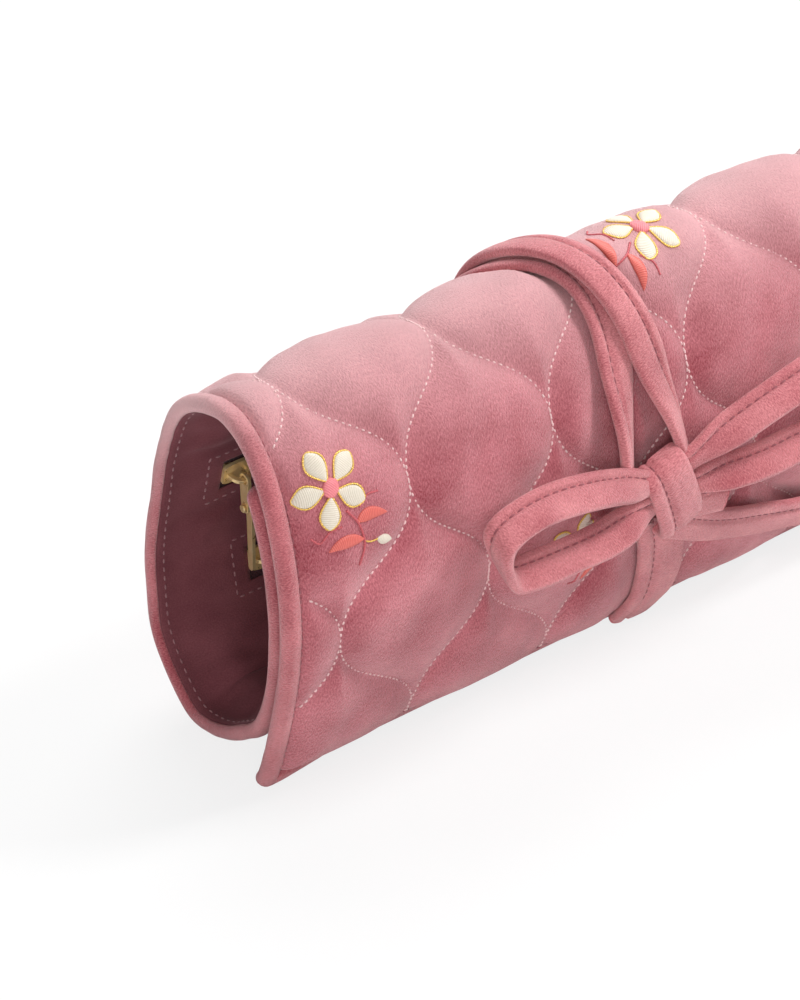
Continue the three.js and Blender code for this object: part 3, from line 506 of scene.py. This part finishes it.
def satin_pad(spine, half_width, height):
    """A padded satin shape: across its spine the section is half an ellipse, whose width follows the
    given row, and the threads that cross it show as fine ridges."""
    along = np.gradient(spine, axis=0)
    across = unit(np.stack([-along[:, 1], along[:, 0]], -1))
    run = arc_lengths(spine)
    flat = spine[:, None] + across[:, None] * (half_width[:, None] * np.cos(pad_turn))[..., None]
    ridge = 0.07 * np.abs(np.sin(np.pi * run / ridge_pitch))[:, None]
    crown = np.maximum(np.sin(pad_turn), -0.25) * height * (half_width / half_width.max())[:, None] ** 0.5
    crown = crown + np.where(np.sin(pad_turn) > 0.1, ridge, 0.0)
    return on_cover(flat, crown), run, np.append(np.cos(pad_turn), 1.0)


def sewn_cord(track, girth, height):
    """A twisted cord couched on the velvet: a round section along the track, swelling at each twist."""
    path = on_cover(track, height)
    up = on_cover(track, height + 1.0) - path
    across = np.cross(unit(np.gradient(path, axis=0)), up)
    run = arc_lengths(path)
    radius = (girth / 2.0 * (1.0 + 0.22 * np.sin(2.0 * np.pi * run / twist_pitch)))[:, None, None]
    around = np.cos(thread_turn)[:, None] * across[:, None] + np.sin(thread_turn)[:, None] * up[:, None]
    return path[:, None] + around * radius, run, np.arange(7) / 6.0


petal_t = np.linspace(0.0, 1.0, 70)
petal_width = np.sin(np.pi * (petal_t * 0.96 + 0.02) ** 1.35) ** 0.75
leaf_width = np.sin(np.pi * (petal_t * 0.96 + 0.02) ** 0.85) ** 0.9
cream_pads, pink_pads, coral_pads, gold_cords, rose_cords = [], [], [], [], []
for sprig_x, sprig_from_flap, sprig_turn in (
        (-88.0, 88.0, 0.35), (18.5, 116.0, -1.2), (-17.0, 47.0, 0.9),
        (84.9, 79.8, -0.4), (-45.9, 218.8, 2.4), (63.1, 184.0, 2.0)):
    turned = np.array([[np.cos(sprig_turn), np.sin(sprig_turn)], [-np.sin(sprig_turn), np.cos(sprig_turn)]])
    place = lambda points: points @ turned + [sprig_x, sprig_from_flap]
    heart = np.array([0.0, 4.5])
    for petal in np.radians(90.0 + 72.0 * np.arange(5)):
        way = np.array([np.cos(petal), np.sin(petal)])
        spine = heart + way * (1.7 + 7.4 * petal_t)[:, None]
        cream_pads.append(satin_pad(place(spine), 2.35 * petal_width, 0.75))
        side = np.array([-way[1], way[0]]) * (2.5 * petal_width)[:, None]
        outline = np.concatenate([spine + side, (spine - side)[::-1]])
        gold_cords.append(sewn_cord(place(outline), 0.5, 0.15))
    disc = np.sqrt(np.clip(1.0 - (2.0 * petal_t - 1.0) ** 2, 0.02, 1.0))
    disc_spine = heart + np.array([1.0, 0.4]) * (4.0 * petal_t - 2.0)[:, None]
    pink_pads.append(satin_pad(place(disc_spine), 2.1 * disc, 1.0))
    stem = through(np.array([[0.3, -2.0], [1.2, -6.5], [0.2, -11.5], [-3.2, -15.5]]), 24)
    rose_cords.append(sewn_cord(place(stem), 0.6, 0.1))
    for foot, tip in (([1.2, -6.0], [8.6, -9.4]), ([0.5, -10.4], [-8.0, -7.4])):
        leaf = np.linspace(foot, tip, 70) + np.array([0.0, 1.1]) * np.sin(np.pi * petal_t)[:, None]
        coral_pads.append(satin_pad(place(leaf), 1.55 * leaf_width, 0.6))
    bud = np.linspace([3.4, -13.0], [6.8, -16.6], 70)
    cream_pads.append(satin_pad(place(bud), 1.25 * leaf_width, 0.6))
    bud_stem = through(np.array([[0.4, -11.0], [1.7, -12.3], [3.5, -13.1]]), 16)
    gold_cords.append(sewn_cord(place(bud_stem), 0.45, 0.1))
    for curl in (
            [[-2.6, -4.2], [-5.6, -3.4], [-8.6, -4.4], [-9.8, -2.2]], [[3.4, -3.6], [6.4, -2.6], [9.2, -3.8]]):
        rose_cords.append(sewn_cord(place(through(np.array(curl), 16)), 0.5, 0.05))


def satin_thread(name, deep, fair, metal=0.0, gloss=0.42):
    """Embroidery thread: fine lines along the shape between two tones, with some gloss."""
    finish, cloth = new_finish(name)
    place = cloth.node("UVMap", {"uv_map": "cloth"})
    wave = {"Vector": place, "Scale": 0.7, "Distortion": 0.8, "Detail": 1.0}
    line = cloth.node("TexWave", {"bands_direction": "X"}, wave)
    mottle = noise(cloth, place, 1.6, 2.0)
    colour = blend(cloth, line * 0.6 + mottle * 0.4, deep, fair)
    raised = cloth.node("Bump", None, {"Strength": 0.4, "Distance": 0.0001, "Height": line})
    close_finish(cloth, {
        "Base Color": colour, "Roughness": mottle * 0.1 + gloss, "Metallic": metal, "Normal": raised})
    return finish


cream = satin_thread("cream_thread", linear(206, 192, 172), linear(234, 226, 212))
pink = satin_thread("pink_thread", linear(214, 104, 116), linear(240, 146, 150))
coral = satin_thread("coral_thread", linear(196, 78, 74), linear(226, 118, 104))
gilt = satin_thread("gold_thread", linear(186, 138, 52), linear(240, 206, 116), 0.55, 0.3)
rose = satin_thread("rose_thread", linear(176, 70, 80), linear(206, 98, 104))
for sewn_name, tubes, finish in (
        ("cream_petals", cream_pads, cream), ("pink_hearts", pink_pads, pink), ("coral_leaves", coral_pads, coral),
        ("gold_edging", gold_cords, gilt), ("rose_stems", rose_cords, rose)):
    sewn = put_tubes("embroidered_" + sewn_name, tubes, finish)
    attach(sewn, "roll")

# The lining: dark mauve brushed cloth, a little loose, sewn in up to the bound rim. Over each zip
# a long window is left open.
lining_level, lining_edge, corner = -3.1, 1.0, 3.2
upper_half, lower_half, window_width = 86.0, 77.0, 5.2
windows = ((lower_zip_arc, lower_half), (upper_zip_arc, upper_half))
lining_x = [np.linspace(lining_edge - roll_half, roll_half - lining_edge, 122)]
lining_arc = [np.linspace(lining_edge, sheet_end - lining_edge, 200)]
for zip_arc, window_half in windows:
    lining_x.append([-window_half, window_half])
    lining_arc.append([zip_arc - window_width, zip_arc + window_width])
lining_x = np.unique(np.concatenate(lining_x))
lining_arc = np.unique(np.round(np.concatenate(lining_arc), 4))
grid_x, grid_arc = np.meshgrid(lining_x, lining_arc, indexing="ij")
edge_distance = np.minimum(roll_half - np.abs(grid_x), np.minimum(grid_arc, sheet_end - grid_arc))
zip_distance = np.minimum(np.abs(grid_arc - lower_zip_arc), np.abs(grid_arc - upper_zip_arc))
loose = ramp(edge_distance, 4.0, 16.0) * ramp(zip_distance, zip_flat, 18.0)
lining_fold = 0.55 * lumps(grid_x, grid_arc * 0.55, 24.0, 11) + 0.3 * lumps(grid_x, grid_arc, 11.0, 12)
gathered = ramp(edge_distance, 5.0, 10.0) * fall(edge_distance, 16.0, 40.0)
gathered = 0.7 * gathered * ramp(zip_distance, zip_flat, 14.0)
lining_fold = loose * lining_fold + gathered * lumps(grid_arc, grid_x * 0.2, 10.0, 13)
lining_lift = 0.9 * fall(edge_distance, 1.2, 2.3) + lining_fold
past_x = np.maximum(np.abs(grid_x) - roll_half + corner, 0.0)
past_arc = np.maximum(np.abs(grid_arc - sheet_end / 2.0) - sheet_end / 2.0 + corner, 0.0)
drawn = 1.0 - np.minimum((corner - lining_edge) / np.maximum(np.hypot(past_x, past_arc), 0.1), 1.0)
round_x = grid_x - np.sign(grid_x) * past_x * drawn
round_arc = grid_arc - np.sign(grid_arc - sheet_end / 2.0) * past_arc * drawn
lining_points = on_sheet(round_x, round_arc, lining_level, lining_lift)
rows = len(lining_arc)
middle_x = (lining_x[:-1] + lining_x[1:])[:, None] / 2.0
middle_arc = (lining_arc[:-1] + lining_arc[1:])[None] / 2.0
window = np.any([
    (np.abs(middle_x) < window_half) & (np.abs(middle_arc - zip_arc) < window_width)
    for zip_arc, window_half in windows], axis=0)
cell = np.arange(grid_x.size).reshape(grid_x.shape)[:-1, :-1][~window]
lining_quads = np.stack([cell + 1, cell + rows + 1, cell + rows, cell], -1)
lining_uv = np.stack([grid_x.ravel()[lining_quads], grid_arc.ravel()[lining_quads]], -1)


def brushed_cloth(name, deep, fair):
    """Brushed lining: fine fibres and broad soft patches between two tones, with a low sheen."""
    finish, cloth = new_finish(name)
    place = cloth.node("UVMap", {"uv_map": "cloth"})
    fibre = noise(cloth, place, 2.2, 4.0, 0.6)
    patch = noise(cloth, place, 0.08, 2.0)
    colour = blend(cloth, 0.5 + (fibre - 0.5) * 1.2 + (patch - 0.5) * 0.9, deep, fair)
    raised = cloth.node("Bump", None, {"Strength": 0.35, "Distance": 0.0003, "Height": fibre})
    close_finish(cloth, {
        "Base Color": colour, "Roughness": 0.9, "Normal": raised, "Specular IOR Level": 0.15,
        "Sheen Weight": 0.25, "Sheen Roughness": 0.4, "Sheen Tint": linear(235, 190, 195)})
    return finish


lining_finish = brushed_cloth("brushed_lining", linear(94, 46, 53), linear(136, 80, 86))
lining = put_mesh("brushed_lining_sheet", lining_points, lining_quads.tolist(), lining_finish, lining_uv)
thickness = lining.modifiers.new("cloth_thickness", "SOLIDIFY")
thickness.thickness, thickness.offset = 0.0004, -1.0
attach(lining, "roll")
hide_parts("lining_sheet", "upper_pocket_panel", "lower_pocket_panel")

# The velvet binding: a soft padded strip folded round all four edges, rounded at the corners, with
# a sewn groove on the outside and a narrow lip on the lining.
binding_profile = np.array([
    [5.3, 0.2], [5.1, 0.95], [4.7, 1.6], [4.0, 2.05], [3.1, 2.3], [2.3, 2.28], [1.5, 2.05], [0.9, 1.65],
    [0.4, 1.05], [0.05, 0.25], [0.05, -0.5], [0.3, -1.15], [0.7, -1.65], [1.2, -1.95], [1.6, -2.05], [1.9, -1.85],
    [1.85, -1.2], [1.8, -0.6], [1.8, 0.1], [5.3, 0.1]])
profile_around = arc_lengths(np.vstack([binding_profile, binding_profile[:1]]))


def put_binding(name, node, finish, path_x, path_arc, inward_x, inward_arc, flat=0.0):
    """The folded strip: its profile of depth and level carried along a path on the flat sheet, with
    the depth along the path's inward normal, and slightly uneven along its length. Away from its
    ends its outer side lies flatter by the share given."""
    depth, level = binding_profile.T[:, None]
    run = arc_lengths(np.stack([path_x, path_arc], -1))
    crown = 1.0 - flat * ramp(np.minimum(run, run[-1] - run), 0.0, 25.0)
    level = np.where(level > 0.0, level * crown[:, None], level)
    uneven = 1.0 + 0.06 * lumps(run, 0.0, 17.0, 21) + 0.03 * lumps(run, 0.0, 6.0, 22)
    x = path_x[:, None] + inward_x[:, None] * depth
    arc = path_arc[:, None] + inward_arc[:, None] * depth
    rings = on_sheet(x, arc, 0.0, level * uneven[:, None])
    made = put_tubes(name, [(rings, run, profile_around)], finish)
    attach(made, "roll")
    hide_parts(node)


binding_velvet = velvet("binding_velvet", linear(158, 64, 74), linear(224, 136, 142), 1.2)
# The rims' velvet has a painted sheen: paler round the top of each end, standing in for the light there.
painted_sheen_rim_velvet = velvet("painted_sheen_rim_velvet", linear(158, 64, 74), linear(224, 136, 142), 1.2, ("X", 138.0, 46.0))
edge_steps, cross_steps = 328, 130
corner_turn = np.linspace(0.0, np.pi / 2.0, 12)
edge_in_x = -np.concatenate([np.sin(corner_turn), np.ones(edge_steps), np.cos(corner_turn)])
edge_in_arc = np.concatenate([-np.cos(corner_turn), np.zeros(edge_steps), np.sin(corner_turn)])
edge_middle = np.linspace(sheet_end - corner, corner, edge_steps + 2)[1:-1]
edge_middle = np.concatenate([np.full(12, sheet_end - corner), edge_middle, np.full(12, corner)])
edge_x, edge_arc = roll_half - corner - corner * edge_in_x, edge_middle - corner * edge_in_arc
put_binding("near_end_velvet_binding", "near_end_binding", painted_sheen_rim_velvet, -edge_x, edge_arc, -edge_in_x, edge_in_arc)
put_binding("far_end_velvet_binding", "far_end_binding", painted_sheen_rim_velvet, edge_x, edge_arc, edge_in_x, edge_in_arc)
cross_x = np.linspace(-roll_half + corner, roll_half - corner, cross_steps)
level, ahead = np.zeros(cross_steps), np.ones(cross_steps)
flap_arc = ahead * sheet_end
put_binding("flap_edge_velvet_binding", "flap_edge_binding", binding_velvet, cross_x, flap_arc, level, -ahead, 0.7)
put_binding("inner_edge_velvet_binding", "inner_edge_binding", binding_velvet, cross_x, level, level, ahead)

# The topstitching: on the lining one row of dashes round the edge, just inside the rim, and a frame
# of dashes round each zip's window. On the outside a rose row lies in the binding's groove.
lining_dash, groove_dash = (2.7, 1.7, 0.6), (2.7, 1.8, 0.6)
lining_thread = thread("lining_thread", linear(122, 76, 82), linear(162, 112, 116))


def edge_rows(inset):
    """Four rows at that distance inside the edge: near end, far end, inner edge and flap's edge."""
    row_x, row_arc = edge_x + inset * edge_in_x, edge_arc + inset * edge_in_arc
    return (-row_x, row_arc), (row_x, row_arc), (cross_x, ahead * inset), (cross_x, ahead * (sheet_end - inset))


lining_rows = list(edge_rows(4.0))
frame_past, frame_in = 4.5, 8.6
long_side, short_side = np.linspace(-1.0, 1.0, 160), np.linspace(-1.0, 1.0, 16)
frame_x = np.concatenate([long_side, np.ones(16), -long_side, -np.ones(16)])
frame_arc = np.concatenate([-np.ones(160), short_side, np.ones(160), -short_side])
for zip_arc, window_half in windows:
    lining_rows.append(((window_half + frame_past) * frame_x, zip_arc + frame_in * frame_arc))
lining_beads = [sewn_row(*row, lining_level, -0.16, -1.0, lining_dash) for row in lining_rows]
topstitching = put_stitches("lining_topstitches", lining_beads, lining_thread)
groove_beads = [sewn_row(*row, cover_level, -0.8, 1.0, groove_dash) for row in edge_rows(5.3)]
binding_thread = thread("binding_thread", linear(134, 62, 72), linear(176, 100, 108))
groove_stitches = put_stitches("binding_topstitches", groove_beads, binding_thread)

# The zips, sewn in behind the lining's windows: woven burgundy tapes, nylon teeth, and pale gold
# stops, sliders and jointed pulls. The tapes are new woven strips. The hard pieces keep their shapes
# and get soft edges and finishes.
def woven_tape(name, deep, fair):
    """Twill tape: two crossed rows of fine ridges between two tones."""
    finish, cloth = new_finish(name)
    place = cloth.node("UVMap", {"uv_map": "cloth"})
    twill = {"Vector": place, "Scale": 0.55, "Distortion": 0.6, "Detail": 1.0}
    ridge = cloth.node("TexWave", {"bands_direction": "DIAGONAL"}, twill)
    rib = cloth.node("TexWave", {"bands_direction": "X"}, {"Vector": place, "Scale": 0.5, "Distortion": 0.3})
    colour = blend(cloth, ridge * 0.6 + rib * 0.4, deep, fair)
    raised = cloth.node("Bump", None, {"Strength": 0.6, "Distance": 0.0002, "Height": ridge * rib})
    close_finish(cloth, {"Base Color": colour, "Roughness": 0.8, "Normal": raised, "Sheen Weight": 0.15})
    return finish


def squarer(wave, power):
    """The same wave with fuller shoulders: its size to a power below one, with its sign."""
    return np.sign(wave) * np.abs(wave) ** power


tape_finish = woven_tape("woven_zip_tape", linear(44, 12, 18), linear(78, 30, 38))
tape_half, tape_thick, tape_aside, tape_in = 2.65, 0.4, 5.35, 2.2
tape_turn = np.linspace(0.0, 2.0 * np.pi, 24, endpoint=False)
tape_across = tape_half * squarer(np.cos(tape_turn), 0.3)
tape_up = tape_thick / 2.0 * squarer(np.sin(tape_turn), 0.6)
for zip_name, (zip_arc, window_half) in zip(("upper", "lower"), windows[::-1]):
    tape_x = np.linspace(-window_half, window_half, 120)
    foot, head = (on_sheet(0.0, np.array(zip_arc + off), 0.0) for off in (-zip_flat, zip_flat))
    wall_up = unit(head - foot)
    wall_in = np.cross([1.0, 0.0, 0.0], wall_up)
    for place_name, side in (("above", 1.0), ("below", -1.0)):
        centre = (foot + head) / 2.0 + wall_up * side * tape_aside + wall_in * tape_in
        wave = 0.05 * lumps(tape_x, 0.0, 9.0, 31)
        strip = centre + wall_up * tape_across[None, :, None]
        strip = strip + wall_in * (tape_up[None] + wave[:, None])[..., None]
        strip[..., 0] = tape_x[:, None]
        tape_around = np.append(tape_across, tape_across[0])
        tape = put_tubes(f"{zip_name}_tape_{place_name}", [(strip, tape_x, tape_around)], tape_finish)
        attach(tape, "roll")
        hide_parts(f"{zip_name}_zip_tape_{place_name}")


def hard_finish(name, deep, fair, scale, detail, metal, spread, smooth):
    """Cast metal or nylon: a fine haze moves the colour between two tones, and the roughness up."""
    finish, cast = new_finish(name)
    haze = noise(cast, cast.node("TexCoord", None, None, 3), scale, detail)
    colour = blend(cast, haze, deep, fair)
    close_finish(cast, {"Base Color": colour, "Metallic": metal, "Roughness": haze * spread + smooth})
    return finish


pale_gold = linear(240, 204, 136), linear(255, 234, 184)
gold_finish = hard_finish("polished_pale_gold", *pale_gold, 420.0, 3.0, 0.6, 0.16, 0.22)
nylon_finish = hard_finish("burgundy_nylon", linear(58, 20, 26), linear(88, 38, 46), 900.0, 2.0, 0.0, 0.2, 0.35)
for node_name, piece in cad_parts.items():
    hard = "slider" in node_name or "pull" in node_name or "stop" in node_name
    if hard or "teeth" in node_name:
        piece.data.materials.clear()
        piece.data.materials.append(gold_finish if hard else nylon_finish)
        weld = piece.modifiers.new("joined_faces", "WELD")
        weld.merge_threshold = 0.00001
        edge = piece.modifiers.new("soft_edges", "BEVEL")
        edge.width, edge.segments, edge.limit_method = (0.00022 if hard else 0.00012), 2, "ANGLE"
        edge.angle_limit = np.radians(35.0)
        piece.data.polygons.foreach_set("use_smooth", np.zeros(len(piece.data.polygons), bool))

# The tie: a flat tube of velvet, sewn along one side so that a narrow bead lies beside the wide
# band. Two runs come over the roll side by side, and a third rises from the flap's edge, where it
# is sewn in. The knot holds all three.
strap_width, strap_thickness, strap_groove, strap_dash = 10.0, 3.4, 0.2, (2.7, 1.9, 0.6)
# Painted highlight: the tie's velvet is paler than the cover's, standing in for the light on the raised straps.
tie_velvet = velvet("tie_velvet", linear(172, 78, 88), linear(236, 154, 158), 0.9)
strap_turn = np.linspace(0.0, 2.0 * np.pi, 60, endpoint=False)
strap_beads = []


def put_strap(name, node, path, across, width=strap_width, groove_side=1.0, seed=41):
    """A sewn strap: its section, a flattened superellipse with a groove a fifth of the width from the
    middle, carried along the path, with its width along the given direction. Dashes lie in the
    groove on both faces."""
    along = unit(np.gradient(path, axis=0))
    across = unit(across - along * np.sum(across * along, axis=1, keepdims=True))
    up = np.cross(across, along)
    wide = 0.5 * squarer(np.cos(strap_turn), 0.62)
    groove = 1.0 - 0.62 * np.exp(-((wide * groove_side - strap_groove) / 0.05) ** 2)
    thick = 0.5 * strap_thickness * squarer(np.sin(strap_turn), 0.62) * groove
    run = arc_lengths(path)
    breadth = (width * (1.0 + 0.025 * lumps(run, 0.0, 21.0, seed)))[:, None]
    depth = (1.0 + 0.08 * lumps(run, 0.0, 15.0, seed + 1))[:, None]
    rings = path[:, None] + across[:, None] * (wide * breadth)[..., None]
    rings = rings + up[:, None] * (thick * depth)[..., None]
    rings[..., 2] = np.maximum(rings[..., 2], table_gap)
    for face in (1.0, -1.0):
        row = path + across * (strap_groove * groove_side * breadth) + up * (0.66 * face * depth)
        strap_beads.append(stitches(row, up * face, *strap_dash))
    around = arc_lengths(np.stack([wide * strap_width, thick], -1))
    made = put_tubes(name, [(rings, run, np.append(around, around[-1] + around[1]))], tie_velvet)
    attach(made, "roll")
    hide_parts(node)


lift = 0.1 + strap_thickness / 2.0
along_roll = np.array([1.0, 0.0, 0.0])
run_arc = np.linspace(arc_at(264.0), sheet_length - run_end, 190)
run_from_flap = sheet_length - run_arc
left_lift = lift + 1.6 * fall(run_from_flap, 74.0, 94.0) + 0.4 * stacked(run_from_flap)
right_lift = lift + 3.8 * stacked(run_from_flap) + 2.0 * fall(run_from_flap, 72.0, 96.0)
left_path = cover_face(run_x(-1.0, run_from_flap), run_arc, left_lift)
right_path = cover_face(run_x(1.0, run_from_flap), run_arc, right_lift)
run_out = cover_face(0.0, run_arc, 1.0) - cover_face(0.0, run_arc)
left_tilt = 1.2 * fall(run_from_flap, 64.0, 98.0)[:, None]
right_tilt = 1.5 * fall(run_from_flap, 60.0, 96.0)[:, None]
put_strap("tie_left_velvet_run", "tie_left_run", left_path, along_roll - left_tilt * run_out, groove_side=-1.0)
put_strap("tie_right_velvet_run", "tie_right_run", right_path, along_roll - right_tilt * run_out, seed=43)
front_from_flap = np.linspace(47.0, 3.4, 46)
front_lift = lift - 1.4 * fall(front_from_flap, 3.0, 14.0)
front_path = cover_face(front_x(front_from_flap), sheet_length - front_from_flap, front_lift)
put_strap("tie_front_velvet_run", "tie_front_run", front_path, along_roll, 15.0, -1.0, 45)

# The bow, of the same strap: a knot wrapped once round the middle holds two loops, which stand on
# their edges, and two tails. It is drawn in its own frame at the knot: along the roll, up the front
# and away from it. The stitches of all the straps come last.
knot_place, knot_lift = (np.array(6.0), np.array(sheet_length - 57.0)), 4.25
knot_base = cover_face(*knot_place, knot_lift)
bow_out = cover_face(*knot_place, knot_lift + 1.0) - knot_base
bow_up = np.cross(bow_out, along_roll)
bow_frame = np.stack([along_roll, bow_up, bow_out])


def in_bow(points):
    """From the bow's frame to the roll's."""
    return knot_base + points @ bow_frame


knot_turn = np.radians(20.0)
wrap = np.linspace(-0.5 * np.pi, 0.5 * np.pi, 48)
wrap_y = 11.2 * squarer(np.sin(wrap), 0.8)
wrap_z = 0.2 + 5.2 * np.abs(np.cos(wrap)) ** 0.45
wrap_path = np.stack([-wrap_y * np.sin(knot_turn), wrap_y * np.cos(knot_turn), wrap_z], -1)
knot_across = np.array([np.cos(knot_turn), np.sin(knot_turn), 0.0]) @ bow_frame
put_strap("tie_velvet_knot", "tie_knot", in_bow(wrap_path), knot_across, 13.6, -1.0, 47)


def put_loop(name, node, side, reach, top, foot, seed):
    """One loop of the bow: out of the knot along the top, round the end and back along the foot. It
    leaves the knot flat and turns up on its edge, to 30 degrees from upright."""
    root = lambda y: 3.0 - side * y * np.tan(knot_turn)
    outline = np.array([
        [root(top * 0.28), top * 0.28], [reach * 0.46, top * 0.85], [reach * 0.75, top],
        [reach * 0.95, top * 0.88], [reach, top * 0.6], [reach * 0.94, top * 0.1], [reach * 0.83, foot * 0.45],
        [reach * 0.64, foot], [reach * 0.39, foot * 0.9], [root(foot * 0.6), foot * 0.6]])
    away = 6.8 - 4.4 * fall(outline[:, 0], 3.0, 20.0)
    path = through(np.column_stack([side * outline[:, 0], outline[:, 1], away]), 14)
    free = ramp(np.abs(path[:, 0]), 5.0, 20.0)
    stand = np.radians(90.0 - 60.0 * free)
    across = np.column_stack([0.0 * stand, -np.sin(stand), np.cos(stand)]) @ bow_frame
    put_strap(name, node, in_bow(path), across, strap_width * (0.65 + 0.35 * free), groove_side=-1.0, seed=seed)


put_loop("tie_left_velvet_loop", "tie_left_loop", -1.0, 58.5, 18.0, -1.0, 49)
put_loop("tie_right_velvet_loop", "tie_right_loop", 1.0, 63.5, 22.5, 1.2, 51)
tail_t = np.linspace(0.0, 1.0, 60)
tail_share = np.stack([(1.0 - tail_t) ** 2, 2.0 * tail_t * (1.0 - tail_t), tail_t ** 2], -1)
tail_x, tail_from_flap = (tail_share @ np.array([[9.0, 47.0], [42.0, 27.0], [86.0, 19.0]])).T
tail_lift = 6.2 - 0.9 * ramp(tail_t, 1.0 / 6.0, 0.5)
tail_path = cover_face(tail_x, sheet_length - tail_from_flap, tail_lift)
tail_out = cover_face(tail_x, sheet_length - tail_from_flap, tail_lift + 1.0) - tail_path
tail_across = np.cross(tail_out, np.gradient(tail_path, axis=0))
put_strap("tie_long_velvet_tail", "tie_long_tail", tail_path, tail_across, seed=53)
stub_x, stub_from_flap = np.linspace([8.0, 53.0], [25.6, 49.0], 16).T
stub_path = cover_face(stub_x, sheet_length - stub_from_flap, 7.0)
put_strap("tie_short_velvet_tail", "tie_short_tail", stub_path, bow_up, seed=55)
tie_thread = thread("tie_thread", linear(126, 54, 64), linear(168, 92, 100))
tie_stitches = put_stitches("tie_topstitches", strap_beads, tie_thread)

# The set: a pale floor, three soft boxes on the right, behind and in front, and a camera at the
# photograph's height and slant. The background is white for the camera and for reflections.
floor_finish, ground = new_finish("pale_floor")
camera_ray = ground.node("LightPath", None, None, "Is Camera Ray")
matt = ground.node("BsdfDiffuse", None, {"Color": (0.9, 0.9, 0.9, 1.0)})
bright = ground.node("Emission", None, {"Color": (1.0, 1.0, 1.0, 1.0), "Strength": 1.0})
mixed = ground.node("MixShader", None, {0: camera_ray * 0.8, 1: matt, 2: bright})
ground.node("OutputMaterial", None, {"Surface": mixed})
floor_half = 3000.0
floor_points = np.array([[-1.0, -1.0, 0.0], [1.0, -1.0, 0.0], [1.0, 1.0, 0.0], [-1.0, 1.0, 0.0]]) * floor_half
floor = put_mesh("floor", floor_points - [0.0, 0.0, 0.3], [[0, 1, 2, 3]], floor_finish)

scene = bpy.context.scene
scene.world, air = new_finish("studio", bpy.data.worlds)
camera_ray, glossy_ray, clear_ray = (
    air.node("LightPath", None, None, f"Is {ray} Ray") for ray in ("Camera", "Glossy", "Transmission"))
soft_light, white = (
    air.node("Background", None, {"Color": (1.0, 1.0, 1.0, 1.0), "Strength": power}) for power in (0.22, 1.0))
plain = camera_ray + glossy_ray + clear_ray
backdrop = air.node("MixShader", None, {0: plain, 1: soft_light, 2: white})
air.node("OutputWorld", None, {"Surface": backdrop})


def put_lamp(name, place, size, power):
    """A square soft box at a place, in metres, that faces the middle of the roll."""
    lamp = bpy.data.lights.new(name, "AREA")
    lamp.size, lamp.energy = size, power
    made = bpy.data.objects.new(name, lamp)
    made.location = place
    made.rotation_euler = (Vector((0.0, 0.0, 0.05)) - Vector(place)).to_track_quat("-Z", "Y").to_euler()
    scene.collection.objects.link(made)


put_lamp("key_light", (0.7, -0.35, 0.9), 0.3, 10.5)
put_lamp("back_light", (0.45, 0.7, 1.1), 1.0, 16.0)
put_lamp("front_light", (-0.8, -0.9, 0.6), 0.7, 6.6)

photo_slant, photo_turn, photo_distance = np.radians(35.5), np.radians(37.3), 0.882
photo_aside, photo_above = 0.0443, 0.0272
rim_point = np.array([-roll_half, section_y, 46.0]) * 0.001
camera_data = bpy.data.cameras.new("photo_camera")
camera_data.lens, camera_data.sensor_width = 129.6, 36.0
camera = bpy.data.objects.new("photo_camera", camera_data)
camera.rotation_euler = (np.pi / 2.0 - photo_slant, 0.0, -photo_turn)
right, upward, backward = np.array(camera.rotation_euler.to_matrix()).T
camera.location = rim_point + photo_aside * right + photo_above * upward + photo_distance * backward
scene.collection.objects.link(camera)
scene.camera = camera
scene.view_settings.view_transform = "Standard"
